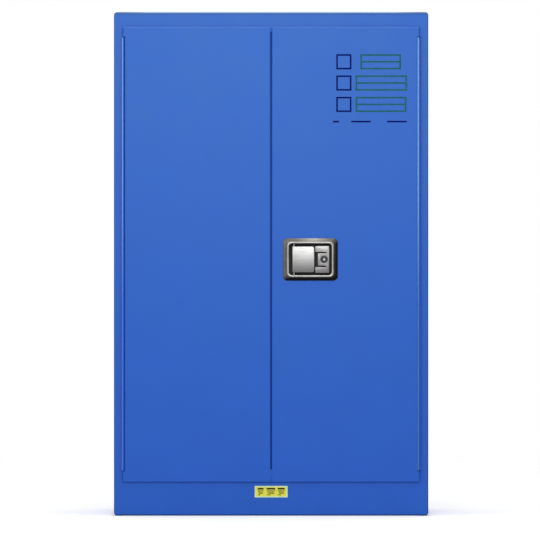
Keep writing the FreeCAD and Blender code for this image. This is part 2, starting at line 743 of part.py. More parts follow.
def rod_yoke():
    """The top rod's yoke: its slot is round the crank pin at 45 degrees below level."""
    slot_x0 = lock_x + crank_side - cam_pin_radius - cam_side_slack
    slot_x1 = lock_x + crank_radius + cam_pin_radius + cam_side_slack
    half_slot = cam_pin_radius + cam_pin_slack
    z = latch_z - crank_side
    low, high = z - half_slot - yoke_rim, z + half_slot + yoke_rim
    stem_x0 = lock_x + rod_offset - stem_width / 2
    plate = box(lock_x + yoke_inner_gap, stem_x0 + stem_width, yoke_front_y, yoke_back_y, low, high)
    stem = box(stem_x0, stem_x0 + stem_width, yoke_front_y, yoke_back_y, low, latch_z + stem_length)
    slot = box(slot_x0, slot_x1, yoke_front_y - 1, yoke_back_y + 1, z - half_slot, z + half_slot)
    return cut(fuse([plate, stem]), [slot])


def lock_rod(upward):
    yoke = rod_yoke()
    x = lock_x + rod_offset
    start_z = latch_z + stem_length - stem_width
    end_z = pan_top_z - rest_gap
    if not upward:
        yoke.rotate(V(lock_x, 0, latch_z), V(0, 1, 0), 180)
        x = lock_x - rod_offset
        start_z = pan_bottom_z + rest_gap
        end_z = latch_z - stem_length + stem_width
    rod = rod_z(x, rod_y, start_z, end_z, rod_radius)
    tip_z0 = end_z - bolt_tip_length if upward else start_z
    tip = rod_z(x, rod_y, tip_z0, tip_z0 + bolt_tip_length, bolt_tip_radius)
    tip = tip.makeChamfer(bolt_tip_chamfer, edges_at_z(tip, end_z if upward else start_z))
    return fuse([yoke, rod, tip])


def centre_bolt_low():
    return latch_z + crank_side - cam_pin_radius - cam_side_slack - yoke_rim


def centre_bolt_high():
    return latch_z + crank_radius + cam_pin_radius + cam_side_slack + yoke_rim


def centre_bolt():
    low, high = centre_bolt_low(), centre_bolt_high()
    pin_x = lock_x + crank_side
    half_slot = cam_pin_radius + cam_pin_slack
    bar = box(pan_free_x + rest_gap, pin_x + half_slot + yoke_rim, centre_front_y, centre_back_y,
              low, high)
    slot = box(pin_x - half_slot, pin_x + half_slot, centre_front_y - 1, centre_back_y + 1,
               low + yoke_rim, high - yoke_rim)
    return cut(bar, [slot])


def rod_guide(x, z):
    block = box(x - guide_width / 2, x + guide_width / 2, rod_y - rod_radius - yoke_rim, pan_wall_y,
                z - guide_height / 2, z + guide_height / 2)
    bore = rod_z(x, rod_y, z - guide_height, z + guide_height, rod_radius + guide_clear)
    return cut(block, [bore])


def rod_guides():
    guides = [rod_guide(lock_x + rod_offset, latch_z + guide_spacing * k) for k in (1, 2)]
    guides += [rod_guide(lock_x - rod_offset, latch_z - guide_spacing * k) for k in (1, 2)]
    x0 = pan_free_x + centre_guide_inset
    gap, wall = centre_guide_clear, centre_guide_wall
    low, high = centre_bolt_low(), centre_bolt_high()
    block = box(x0, x0 + centre_guide_width, centre_front_y - gap - wall, pan_wall_y,
                low - gap - wall, high + gap + wall)
    window = box(x0 - 1, x0 + centre_guide_width + 1, centre_front_y - gap, centre_back_y + gap,
                 low - gap, high + gap)
    return guides + [cut(block, [window])]


def latch_cover():
    plate = plaque(latch_x, latch_z, cover_width, cover_height, pan_back_y, pan_back_y + sheet,
                   recess_radius)
    holes = [rod_along_y(x, pan_back_y - 1, pan_back_y + 2 * sheet, z, screw_radius + fit_clear)
             for x, z in cover_screw_places()]
    return cut(plate, holes)


def cover_screws():
    screws = []
    for x, z in cover_screw_places():
        seat_y = pan_back_y + sheet
        head = rod_along_y(x, seat_y, seat_y + screw_head_height, z, screw_head_radius)
        head = head.makeFillet(screw_head_height / 2, edges_at_y(head, seat_y + screw_head_height))
        screws.append(fuse([head, rod_along_y(x, seat_y - screw_length, seat_y, z, screw_radius)]))
    return screws


# ------------------------------------------------------------ left door bolts
def side_bolt_span(upward):
    """Lowest and highest z of a drawn bolt on the left door."""
    if upward:
        top = header_lip_z - side_bolt_rest_gap
        return top - side_bolt_length, top
    low = sill_lip_z + side_bolt_rest_gap
    return low, low + side_bolt_length


def side_bolt(upward):
    z0, z1 = side_bolt_span(upward)
    bar = rod_z(-side_bolt_x, side_bolt_y, z0, z1, side_bolt_radius)
    bar = bar.makeChamfer(side_bolt_radius / 4, edges_at_z(bar, z1 if upward else z0))
    knob = rod_along_y(-side_bolt_x, side_bolt_y, side_bolt_y + knob_length, (z0 + z1) / 2, knob_radius)
    return fuse([bar, knob])


def side_bolt_guides():
    guides = []
    for upward in (True, False):
        z0, z1 = side_bolt_span(upward)
        for z in (z0 + side_guide_inset, z1 - side_guide_inset):
            block = box(-side_bolt_x - side_guide_width / 2, -side_bolt_x + side_guide_width / 2,
                        pan_back_y, side_bolt_y + side_bolt_radius + side_guide_rim,
                        z - side_guide_height / 2, z + side_guide_height / 2)
            bore = rod_z(-side_bolt_x, side_bolt_y, z - side_guide_height, z + side_guide_height,
                         side_bolt_radius + guide_clear)
            guides.append(cut(block, [bore]))
    return guides


# ------------------------------------------------------------ shelves and trays
def pilasters():
    x0, x1 = liner_half - pilaster_depth, liner_half
    strips = []
    for y in pilaster_ys:
        y0, y1 = y - pilaster_width / 2, y + pilaster_width / 2
        channel = box(x0, x1, y0, y1, pilaster_bottom_z, pilaster_top_z)
        hollow = box(x0 + pilaster_sheet, x1 + 1, y0 + pilaster_sheet, y1 - pilaster_sheet,
                     pilaster_bottom_z - 1, pilaster_top_z + 1)
        count = int((pilaster_top_z - pilaster_bottom_z) / slot_pitch)
        slot_z = [pilaster_bottom_z + slot_pitch * (k + 0.5) for k in range(count)]
        slots = [box(x0 - 1, x0 + 2 * pilaster_sheet, y - slot_width / 2, y + slot_width / 2,
                     z, z + slot_height) for z in slot_z]
        strip = cut(channel, [hollow] + slots)
        strips += [strip, mirror_x(strip)]
    return strips


def shelf_clips():
    """An angle on each pilaster under each shelf's edge."""
    clips = []
    face_x = liner_half - pilaster_depth
    for shelf_z in shelf_heights:
        seat_z = shelf_z - shelf_lip - rest_gap
        for y in pilaster_ys:
            y0, y1 = y - clip_width / 2, y + clip_width / 2
            tongue = box(face_x - clip_reach, face_x, y0, y1, seat_z - clip_thickness, seat_z)
            back = box(face_x - clip_thickness, face_x, y0, y1, seat_z - clip_height, seat_z)
            clip = fuse([tongue, back])
            clips += [clip, mirror_x(clip)]
    return clips


def shelf(z):
    """A folded shelf whose top face is at z, with a hemmed lip all round below it."""
    block = box(-shelf_half, shelf_half, shelf_front_y, shelf_back_y, z - shelf_lip, z)
    block = block.makeFillet(pan_radius, edges_at_z(block, z))
    hollow = box(-shelf_half + sheet, shelf_half - sheet, shelf_front_y + sheet, shelf_back_y - sheet,
                 z - shelf_lip + sheet, z - sheet)
    below = box(-shelf_half + shelf_hem, shelf_half - shelf_hem, shelf_front_y + shelf_hem,
                shelf_back_y - shelf_hem, z - shelf_lip - 1, z - shelf_lip + 2 * sheet)
    return cut(block, [hollow, below])


def tray(x, y0, y1, z):
    """An open plastic tray with an outward rim, from -x to x, its underside at z."""
    edge = tray_rim - tray_wall
    body = box(-x + edge, x - edge, y0 + edge, y1 - edge, z, z + tray_height)
    body = body.makeFillet(tray_radius, edges_along(body, V(0, 0, 1)))
    rim = box(-x, x, y0, y1, z + tray_height - tray_wall, z + tray_height)
    rim = rim.makeFillet(tray_radius + edge, edges_along(rim, V(0, 0, 1)))
    inner = edge + tray_wall
    hollow = box(-x + inner, x - inner, y0 + inner, y1 - inner, z + tray_wall, z + 2 * tray_height)
    hollow = hollow.makeFillet(tray_radius - tray_wall, edges_along(hollow, V(0, 0, 1)))
    return cut(fuse([body, rim]), [hollow])


def shelf_tray(z):
    return tray(shelf_half - tray_margin, shelf_front_y + tray_margin, shelf_back_y - tray_margin,
                z + rest_gap)


def sump_tray():
    return tray(liner_half - sump_tray_margin, lip_back_y + sump_tray_front_gap,
                liner_back_y - sump_tray_margin, sump_bottom_z + sheet + rest_gap)


# ------------------------------------------------------------ feet
def foot_brackets():
    """Plates with a threaded hub under the bottom panel, one for each foot."""
    brackets = []
    half = bracket_size / 2
    for side in (-1, 1):
        for y in foot_ys:
            x = side * foot_x
            plate = box(x - half, x + half, y - half, y + half,
                        bottom_panel_z - bracket_thickness, bottom_panel_z)
            hub = rod_z(x, y, hub_bottom_z, bottom_panel_z, bracket_hub_radius)
            bore = rod_z(x, y, shell_bottom_z, bottom_panel_z + 1, foot_stud_radius + foot_thread_clear)
            brackets.append(cut(fuse([plate, hub]), [bore]))
    return brackets


def foot(x, y):
    pad = rod_z(x, y, 0, foot_pad_height, foot_pad_radius)
    pad = pad.makeChamfer(foot_pad_edge, edges_at_z(pad, foot_pad_height))
    nut = hexagon(V(x, y, foot_pad_height), V(0, 0, 1), foot_hex_flats, foot_hex_height)
    stud = rod_z(x, y, foot_pad_height, foot_pad_height + foot_hex_height + foot_stud_length,
                 foot_stud_radius)
    return fuse([pad, nut, stud])


# ------------------------------------------------------------ vents and earth point
def vent_bushing(side, z):
    low, high = sorted((side * (liner_half - vent_inside), side * half_width))
    tube = rod_x(low, high, vent_y, z, vent_bore_radius + vent_wall)
    nut_low, nut_high = sorted((side * (liner_half - vent_nut_thickness), side * liner_half))
    nut = rod_x(nut_low, nut_high, vent_y, z, vent_nut_radius)
    bore = rod_x(low - 1, high + 1, vent_y, z, vent_bore_radius)
    return cut(fuse([tube, nut]), [bore])


def vent_bushings():
    return [vent_bushing(side, z) for side, z in vent_places()]


def flame_screen(side, z):
    inner_x = liner_half - vent_inside
    low, high = sorted((side * inner_x, side * (inner_x + screen_thickness)))
    disc = rod_x(low, high, vent_y, z, vent_bore_radius)
    reach = vent_bore_radius - screen_edge - screen_hole_radius
    rows = int(reach / screen_hole_pitch)
    holes = []
    for i in range(-rows, rows + 1):
        for j in range(-rows, rows + 1):
            if math.hypot(i, j) * screen_hole_pitch <= reach:
                holes.append(rod_x(low - 1, high + 1, vent_y + i * screen_hole_pitch,
                                   z + j * screen_hole_pitch, screen_hole_radius))
    return cut(disc, holes)


def flame_screens():
    return [flame_screen(side, z) for side, z in vent_places()]


def vent_cap(side, z):
    flange_x = half_width
    flange = rod_x(flange_x, flange_x + cap_flange_thickness, vent_y, z, cap_flange_radius)
    flange = flange.makeChamfer(cap_flange_thickness / 2,
                                [e for e in flange.Edges
                                 if abs(e.BoundBox.XMin - flange_x - cap_flange_thickness) < TINY])
    plug = rod_x(flange_x - cap_plug_length, flange_x, vent_y, z, vent_bore_radius - cap_clear)
    hollow = rod_x(flange_x - cap_plug_length - 1, flange_x - cap_wall, vent_y, z,
                   vent_bore_radius - cap_clear - cap_wall)
    slot = box(flange_x + cap_flange_thickness - cap_slot_depth, flange_x + 2 * cap_flange_thickness,
               vent_y - cap_flange_radius, vent_y + cap_flange_radius,
               z - cap_slot_width / 2, z + cap_slot_width / 2)
    cap = cut(fuse([flange, plug]), [hollow, slot])
    return cap if side > 0 else mirror_x(cap)


def earth_point():
    boss = hexagon(V(-half_width - earth_proud, earth_y, earth_z), V(1, 0, 0), earth_flats, earth_depth)
    hole = rod_x(-half_width - earth_proud, -half_width - earth_proud + earth_hole_depth,
                 earth_y, earth_z, earth_hole_radius)
    return cut(boss, [hole])


def rating_plate():
    return plaque(0, plate_z, plate_width, plate_height, frame_front_y - plate_thickness,
                  frame_front_y, plate_corner)


# ------------------------------------------------------------ the whole cabinet
def nodes():
    stile = right_stile()
    frame_leaf = hinge_leaf(0)
    door_leaf = hinge_leaf(1)
    pin = hinge_pin()
    parts = {
        "outer_wrap": outer_wrap(),
        "outer_back": outer_back(),
        "outer_bottom": outer_bottom(),
        "left_stile": [mirror_x(piece) for piece in stile],
        "right_stile": stile,
        "top_rail": top_rail(),
        "bottom_rail": bottom_rail(),
        "left_liner": liner_side(-1),
        "right_liner": liner_side(1),
        "back_liner": liner_back(),
        "top_liner": liner_top(),
        "sump_pan": sump_pan(),
        "frame_gasket": frame_gasket(),
        "hinge_frame_leaves": [frame_leaf, mirror_x(frame_leaf)],
        "hinge_pins": [pin, mirror_x(pin)],
        "shelf_pilasters": pilasters(),
        "shelf_clips": shelf_clips(),
        "vent_bushings": vent_bushings(),
        "flame_screens": flame_screens(),
        "foot_brackets": foot_brackets(),
        "earth_point": earth_point(),
        "rating_plate": rating_plate(),
        "left_door_skin": mirror_x(door_skin()),
        "left_door_pan": left_door_pan(),
        "left_hinge_door_leaf": mirror_x(door_leaf),
        "left_strike": left_strike(),
        "left_door_seal": left_door_seal(),
        "left_bolt_guides": side_bolt_guides(),
        "left_top_bolt": side_bolt(True),
        "left_bottom_bolt": side_bolt(False),
        "right_door_skin": right_door_skin(),
        "right_door_pan": right_door_pan(),
        "right_hinge_door_leaf": door_leaf,
        "latch_bezel": latch_bezel(),
        "paddle_pin": paddle_pin(),
        "paddle_spring": paddle_spring(),
        "latch_paddle": latch_paddle(),
        "lock_plate": lock_plate(),
        "lock_cylinder": lock_cylinder(),
        "lock_plug": lock_plug(),
        "lock_cam": lock_cam(),
        "top_lock_rod": lock_rod(True),
        "bottom_lock_rod": lock_rod(False),
        "centre_bolt": centre_bolt(),
        "rod_guides": rod_guides(),
        "latch_cover": latch_cover(),
        "latch_cover_screws": cover_screws(),
        "sump_tray": sump_tray(),
    }
    for name, z in zip(("lower", "upper"), shelf_heights):
        parts[name + "_shelf"] = shelf(z)
        parts[name + "_tray"] = shelf_tray(z)
    for side_name, side in (("left", -1), ("right", 1)):
        for place, y in zip(("front", "rear"), foot_ys):
            parts[f"{side_name}_{place}_foot"] = foot(side * foot_x, y)
    for side, z in vent_places():
        parts["left_vent_cap" if side < 0 else "right_vent_cap"] = vent_cap(side, z)
    return parts


def export():
    os.makedirs("parts", exist_ok=True)
    for name, shape in nodes().items():
        solids = shape if isinstance(shape, list) else [shape]
        solids = [solid for piece in solids for solid in piece.Solids]
        for solid in solids:
            if not solid.isValid() or not solid.isClosed():
                print("not a sound solid:", name)
        Part.makeCompound(solids).exportStep(f"parts/{name}.step")
        print(name, len(solids), round(sum(s.Volume for s in solids) / 1000, 1), "cm3")


export()
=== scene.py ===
"""Steel cabinet for reagents: paint, latch, prints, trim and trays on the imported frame."""
import json
import math

import bmesh
import bpy
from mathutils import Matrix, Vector


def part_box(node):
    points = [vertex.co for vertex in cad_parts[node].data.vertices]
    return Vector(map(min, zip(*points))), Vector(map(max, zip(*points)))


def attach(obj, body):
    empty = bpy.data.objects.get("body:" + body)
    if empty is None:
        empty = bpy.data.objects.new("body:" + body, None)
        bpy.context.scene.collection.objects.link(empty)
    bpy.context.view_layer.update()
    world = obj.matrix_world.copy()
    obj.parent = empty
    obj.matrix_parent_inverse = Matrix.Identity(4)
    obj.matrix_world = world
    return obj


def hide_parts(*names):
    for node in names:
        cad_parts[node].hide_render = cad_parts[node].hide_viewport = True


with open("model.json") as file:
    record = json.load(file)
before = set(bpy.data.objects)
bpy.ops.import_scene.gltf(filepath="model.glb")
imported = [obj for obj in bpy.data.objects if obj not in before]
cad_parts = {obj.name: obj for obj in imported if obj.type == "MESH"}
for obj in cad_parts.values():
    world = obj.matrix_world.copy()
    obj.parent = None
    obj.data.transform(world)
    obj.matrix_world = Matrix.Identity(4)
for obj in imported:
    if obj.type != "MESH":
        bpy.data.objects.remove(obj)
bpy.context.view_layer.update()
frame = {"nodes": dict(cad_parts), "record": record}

MM = 0.001
DOOR_FACE, FRAME_FACE = -221.0 * MM, -210.0 * MM
DOOR_FOOT, DOOR_TOP = 111.0 * MM, 1602.0 * MM
LATCH_X, LATCH_Z = 128.5 * MM, 839.5 * MM
LOCK_X = 173.5 * MM


def mm(*values):
    """Millimetres as metres."""
    return [value * MM for value in values]


# ------------------------------------------------------------ shader nodes
def add(tree, kind, inputs=None, **properties):
    """One shader node; inputs are values or sockets, properties are the node's own settings."""
    node = tree.nodes.new("ShaderNode" + kind)
    for name, value in properties.items():
        setattr(node, name, value)
    for key, value in (inputs or {}).items():
        if isinstance(value, bpy.types.NodeSocket):
            tree.links.new(value, node.inputs[key])
        else:
            node.inputs[key].default_value = value
    return node


def reckon(tree, operation, *values):
    return add(tree, "Math", dict(enumerate(values)), operation=operation).outputs[0]


def times(tree, first, second):
    return reckon(tree, "MULTIPLY", first, second)


def spread(tree, value, low, high, new_low=0.0, new_high=1.0):
    """A value rescaled from low..high to new_low..new_high, clamped."""
    return add(tree, "MapRange", {"Value": value, "From Min": low, "From Max": high,
                                  "To Min": new_low, "To Max": new_high}).outputs["Result"]


def around(tree, mask, middle, below, above):
    """A value near a middle: that much below it where the mask is 0, above it where it is 1."""
    return spread(tree, mask, 0.0, 1.0, middle - below, middle + above)


def noise(tree, place, scale, detail, roughness=0.5):
    return add(tree, "TexNoise", {"Vector": place, "Scale": scale, "Detail": detail,
                                  "Roughness": roughness}).outputs["Fac"]


def split(tree, vector):
    return add(tree, "SeparateXYZ", {"Vector": vector}).outputs


def tint(tree, mask, first, second, share=None):
    """Colour that goes from first to second as the mask, times its share, goes from 0 to 1."""
    if share is not None:
        mask = times(tree, mask, share)
    first, second = (colour if isinstance(colour, bpy.types.NodeSocket) else (*colour, 1.0)
                     for colour in (first, second))
    return add(tree, "Mix", {"Factor": mask, 6: first, 7: second}, data_type="RGBA").outputs[2]


def start_group(name, inputs, outputs):
    """An empty node group, with the sockets it is given and those it gives out."""
    group = bpy.data.node_groups.new(name, "ShaderNodeTree")
    for label, kind, value in inputs:
        socket = group.interface.new_socket(label, in_out="INPUT", socket_type="NodeSocket" + kind)
        if value is not None:
            socket.default_value = value
    for label, kind in outputs:
        group.interface.new_socket(label, in_out="OUTPUT", socket_type="NodeSocket" + kind)
    given = group.nodes.new("NodeGroupInput").outputs
    return group, given, group.nodes.new("NodeGroupOutput").inputs


def end_group(group, out, results):
    for label, result in results.items():
        group.links.new(result, out[label])
    return group


def use_group(tree, group, inputs):
    return add(tree, "Group", inputs, node_tree=group).outputs


def make_sprayed_coat():
    """Orange peel, slow tone changes and fine speckle of a sprayed or powder coat."""
    group, given, out = start_group(
        "sprayed_coat",
        [("Vector", "Vector", None), ("Peel Scale", "Float", 450.0),
         ("Mottle Scale", "Float", 5.0)],
        [("Height", "Float"), ("Mottle", "Float"), ("Speckle", "Float")])
    place = given["Vector"]
    mottle = noise(group, place, given["Mottle Scale"], 4.0, 0.6)
    speckle = noise(group, place, times(group, given["Peel Scale"], 3.1), 1.0)
    return end_group(group, out, {"Height": noise(group, place, given["Peel Scale"], 2.0),
                                  "Mottle": spread(group, mottle, 0.3, 0.7),
                                  "Speckle": spread(group, speckle, 0.35, 0.65)})


def make_brushed_lines():
    """Long fine streaks along the axis that the given vector is squeezed on."""
    group, given, out = start_group(
        "brushed_lines", [("Vector", "Vector", None), ("Scale", "Float", 1.0)],
        [("Height", "Float"), ("Streak", "Float")])
    lines = noise(group, given["Vector"], given["Scale"], 6.0, 0.7)
    return end_group(group, out, {"Height": lines, "Streak": spread(group, lines, 0.3, 0.7)})


def make_edge_wear_and_shade():
    """Mask that is 1 near an edge, broken up by noise: it marks worn metal edges, and painted shade
    along the edges and folds of painted sheet.
    """
    group, given, out = start_group(
        "edge_wear_and_shade",
        [("Vector", "Vector", None), ("Radius", "Float", 0.001), ("Breakup Scale", "Float", 300.0)],
        [("Mask", "Float")])
    rounded = add(group, "Bevel", {"Radius": given["Radius"]}, samples=4).outputs[0]
    flat = add(group, "NewGeometry").outputs["Normal"]
    turned = add(group, "VectorMath", {0: rounded, 1: flat}, operation="DOT_PRODUCT")
    edge = spread(group, turned.outputs["Value"], 0.995, 0.90)
    kept = spread(group, noise(group, given["Vector"], given["Breakup Scale"], 4.0), 0.38, 0.58)
    return end_group(group, out, {"Mask": times(group, edge, kept)})


def make_folded_edges():
    """Normal that rolls over sheet-metal folds, which have a small outer radius."""
    group, given, out = start_group(
        "folded_edges", [("Radius", "Float", 0.0025)], [("Normal", "Vector")])
    fold = add(group, "Bevel", {"Radius": given["Radius"]}, samples=6)
    return end_group(group, out, {"Normal": fold.outputs[0]})


def make_shell_margin():
    """Masks for a painted front's margins: left, right, foot and top, and bands near the top, where
    highlights and shade are painted.
    """
    group, given, out = start_group(
        "shell_margin",
        [("Vector", "Vector", None), ("Half Width", "Float", 0.515), ("Foot", "Float", 0.003),
         ("Top", "Float", 1.65), ("Margin", "Float", 0.004), ("Corner Reach", "Float", 0.11)],
        [(label, "Float")
         for label in ("Left", "Right", "Foot", "Top", "Crown", "Crease", "Corners")])
    place = split(group, given["Vector"])
    away = {"Left": reckon(group, "ADD", given["Half Width"], place["X"]),
            "Right": reckon(group, "SUBTRACT", given["Half Width"], place["X"]),
            "Foot": reckon(group, "SUBTRACT", place["Z"], given["Foot"]),
            "Top": reckon(group, "SUBTRACT", given["Top"], place["Z"])}
    shares = {label: reckon(group, "DIVIDE", distance, given["Margin"])
              for label, distance in away.items()}
    masks = {label: spread(group, share, 1.0, 0.6) for label, share in shares.items()}
    from_side = reckon(group, "MINIMUM", away["Left"], away["Right"])
    corner = spread(group, reckon(group, "DIVIDE", from_side, given["Corner Reach"]), 1.0, 0.3)
    masks["Crown"] = times(group, spread(group, shares["Top"], 0.45, 0.2),
                           reckon(group, "SUBTRACT", 1.0, corner))
    masks["Crease"] = times(group, spread(group, shares["Top"], 1.9, 1.5),
                            reckon(group, "SUBTRACT", 1.0, masks["Top"]))
    masks["Corners"] = times(group, masks["Top"], corner)
    return end_group(group, out, masks)


def make_settled_dust():
    """Thin dust on faces that look up, thicker where noise gathers it."""
    group, given, out = start_group(
        "settled_dust", [("Vector", "Vector", None), ("Amount", "Float", 0.3)], [("Mask", "Float")])
    normal = split(group, add(group, "NewGeometry").outputs["Normal"])
    level = spread(group, normal["Z"], 0.5, 0.95)
    gathered = spread(group, noise(group, given["Vector"], 22.0, 5.0), 0.25, 0.75)
    return end_group(group, out, {
        "Mask": times(group, times(group, level, gathered), given["Amount"])})


def make_spangle():
    """Crystal patches of hot-dip galvanised sheet."""
    group, given, out = start_group(
        "spangle", [("Vector", "Vector", None), ("Scale", "Float", 110.0)],
        [("Shade", "Float"), ("Height", "Float")])
    cells = add(group, "TexVoronoi", {"Vector": given["Vector"], "Scale": given["Scale"]}).outputs
    tone = add(group, "SeparateColor", {"Color": cells["Color"]})
    return end_group(group, out, {"Shade": tone.outputs[0], "Height": cells["Distance"]})


def make_fine_scratches():
    """Sparse short scratches in two directions."""
    group, given, out = start_group(
        "fine_scratches", [("Vector", "Vector", None), ("Scale", "Float", 30.0)],
        [("Mask", "Float")])
    masks = []
    for turn, threshold in ((0.5, 0.68), (-1.1, 0.70)):
        turned = add(group, "Mapping", {"Vector": given["Vector"], "Rotation": (turn, turn, turn),
                                        "Scale": (1.0, 14.0, 14.0)}).outputs[0]
        masks.append(spread(group, noise(group, turned, given["Scale"], 2.0),
                            threshold, threshold + 0.04))
    return end_group(group, out, {"Mask": reckon(group, "MAXIMUM", *masks)})


sprayed_coat = make_sprayed_coat()
brushed_lines = make_brushed_lines()
edge_wear_and_shade = make_edge_wear_and_shade()
folded_edges = make_folded_edges()
shell_margin = make_shell_margin()
settled_dust = make_settled_dust()
spangle = make_spangle()
fine_scratches = make_fine_scratches()


# ------------------------------------------------------------ materials
DUST = (0.42, 0.42, 0.40)
SHEEN = (0.55, 0.95, 0.45)


def start_material(name, colour, roughness, metallic=0.0, specular=0.5):
    material = bpy.data.materials.new(name)
    material.use_nodes = True
    tree = material.node_tree
    shader = tree.nodes["Principled BSDF"]
    shader.inputs["Base Color"].default_value = (*colour, 1.0)
    shader.inputs["Roughness"].default_value = roughness
    shader.inputs["Metallic"].default_value = metallic
    shader.inputs["Specular IOR Level"].default_value = specular
    return material, tree, shader, add(tree, "TexCoord").outputs["Object"]


def end_material(material, shader, tone, gloss, height, strength, distance, normal=None):
    """Links a material's colour, its roughness and its bump, which may start from a normal."""
    tree = material.node_tree
    bump = add(tree, "Bump", {"Height": height, "Strength": strength, "Distance": distance})
    if normal is not None:
        tree.links.new(normal, bump.inputs["Normal"])
    tree.links.new(tone, shader.inputs["Base Color"])
    tree.links.new(gloss, shader.inputs["Roughness"])
    tree.links.new(bump.outputs["Normal"], shader.inputs["Normal"])
    return material


def scaled(colour, factor):
    return tuple(min(1.0, channel * factor) for channel in colour)


def coat_on(tree, place, peel, mottle):
    return use_group(tree, sprayed_coat, {"Vector": place, "Peel Scale": peel,
                                          "Mottle Scale": mottle})


def dust_on(tree, place, amount):
    return use_group(tree, settled_dust, {"Vector": place, "Amount": amount})["Mask"]


def scratches_on(tree, place, scale):
    return use_group(tree, fine_scratches, {"Vector": place, "Scale": scale})["Mask"]


def edge_wear_and_shade_on(tree, place, radius, breakup):
    return use_group(tree, edge_wear_and_shade, {"Vector": place, "Radius": radius,
                                        "Breakup Scale": breakup})["Mask"]


def lines_on(tree, place, stretch):
    drawn = add(tree, "Mapping", {"Vector": place, "Scale": stretch})
    return use_group(tree, brushed_lines, {"Vector": drawn.outputs[0], "Scale": 1.0})


def powder_coat(name, colour, roughness=0.40, specular=0.40, dust=0.0, fold=0.0008, edge_shade=0.0,
                sheen=SHEEN, margin=None, margin_light_tones=(), bands=()):
    """Satin powder coat on folded sheet steel, with painted shade darkening its edges and folds.

    The edge tones paint highlights and shade on the margins of a front, and the bands paint
    highlights and shade on upright strips of it.
    """
    material, tree, shader, place = start_material(name, colour, roughness, 0.0, specular)
    shader.inputs["Specular Tint"].default_value = (*sheen, 1.0)
    coat = use_group(tree, sprayed_coat, {"Vector": place})
    dusty = dust_on(tree, place, dust)
    tone = tint(tree, coat["Mottle"], scaled(colour, 0.97), scaled(colour, 1.03))
    tone = tint(tree, coat["Speckle"], tone, scaled(colour, 1.35), 0.05)
    # painted shade: the coat darker along its edges and folds
    tone = tint(tree, edge_wear_and_shade_on(tree, place, fold, 25.0), tone, scaled(colour, 0.35), edge_shade)
    # painted highlights and shade along the margins of a front
    if margin:
        painted_light_margins = use_group(tree, shell_margin, {"Vector": place, **margin})
        for label, share, margin_light_tone in margin_light_tones:
            tone = tint(tree, painted_light_margins[label], tone, margin_light_tone, share)
    # painted highlights and shade on upright strips, their share rising from low down to high up
    outside, inside, fade_low, fade_high = 0.6 * MM, 0.2 * MM, 0.70, 1.05
    for low_x, high_x, low_share, high_share, band_tone in bands:
        where = split(tree, place)
        band = times(tree, spread(tree, where["X"], low_x - outside, low_x + inside),
                     spread(tree, where["X"], high_x + outside, high_x - inside))
        tone = tint(tree, band, tone, band_tone,
                    spread(tree, where["Z"], fade_low, fade_high, low_share, high_share))
    gloss = around(tree, coat["Mottle"], roughness, 0.025, 0.025)
    return end_material(material, shader, tint(tree, dusty, tone, DUST),
                        reckon(tree, "ADD", gloss, times(tree, dusty, 0.4)),
                        coat["Height"], strength=0.12, distance=0.0002,
                        normal=use_group(tree, folded_edges, {"Radius": fold})["Normal"])


def plated_steel(name, colour, roughness, stretch):
    """Zinc or nickel plated steel with drawing marks and small scratches."""
    material, tree, shader, place = start_material(name, colour, roughness, 1.0)
    lines = lines_on(tree, place, stretch)
    clouds = coat_on(tree, place, 900.0, 60.0)
    tone = tint(tree, clouds["Mottle"], scaled(colour, 0.86), scaled(colour, 1.08))
    tone = tint(tree, scratches_on(tree, place, 90.0), tone, scaled(colour, 1.3), 0.4)
    return end_material(material, shader, tone,
                        around(tree, lines["Streak"], roughness, 0.06, 0.08),
                        lines["Height"], strength=0.15, distance=0.00005)


def lock_plug_steel(name, colour, bright, roughness):
    """Dark lock plug with a painted highlight, a bright disc in its middle."""
    material, tree, shader, place = start_material(name, colour, roughness, 1.0)
    offset = add(tree, "Mapping", {"Vector": place, "Location": (-LOCK_X, 0.0, -LATCH_Z)})
    flat = add(tree, "VectorMath", {0: offset.outputs[0], 1: (1.0, 0.0, 1.0)}, operation="MULTIPLY")
    away = add(tree, "VectorMath", {0: flat.outputs[0]}, operation="LENGTH").outputs["Value"]
    turned = noise(tree, place, 1500.0, 3.0)
    tone = tint(tree, turned, scaled(colour, 0.8), scaled(colour, 1.3))
    rim, core = 0.0038, 0.0028
    # painted highlight: a bright disc in the plug's middle
    painted_highlight = spread(tree, away, rim, core)
    return end_material(material, shader, tint(tree, painted_highlight, tone, bright),
                        spread(tree, turned, 0.3, 0.7, roughness - 0.05, roughness + 0.08),
                        turned, strength=0.1, distance=0.00005)


def galvanised_sheet(name, colour):
    """Galvanised sheet with its crystals, a few scratches and dust."""
    material, tree, shader, place = start_material(name, colour, 0.42, 0.85)
    crystals = use_group(tree, spangle, {"Vector": place})
    tone = tint(tree, crystals["Shade"], scaled(colour, 0.82), scaled(colour, 1.1))
    tone = tint(tree, scratches_on(tree, place, 25.0), tone, scaled(colour, 1.35), 0.3)
    return end_material(material, shader, tint(tree, dust_on(tree, place, 0.25), tone, DUST),
                        spread(tree, crystals["Shade"], 0.0, 1.0, 0.34, 0.52),
                        crystals["Height"], strength=0.08, distance=0.0002)


def brushed_stainless(name, light, dark, low_z, high_z, stretch, roughness):
    """Brushed stainless plate, with painted light: lighter towards its upper edge, darker below."""
    material, tree, shader, place = start_material(name, light, roughness, 1.0)
    lines = lines_on(tree, place, stretch)
    # painted light: the colour runs from dark at low_z to light at high_z
    painted_top_light = add(tree, "MapRange", {"Value": split(tree, place)["Z"], "From Min": low_z,
                                  "From Max": high_z}, interpolation_type="SMOOTHSTEP")
    tone = tint(tree, painted_top_light.outputs["Result"], dark, light)
    tone = tint(tree, lines["Streak"], tone, scaled(dark, 0.8), 0.45)
    tone = tint(tree, edge_wear_and_shade_on(tree, place, 0.0012, 260.0), tone, scaled(light, 1.15), 0.6)
    return end_material(material, shader, tone,
                        around(tree, lines["Streak"], roughness, 0.06, 0.1),
                        lines["Height"], strength=0.25, distance=0.00006)


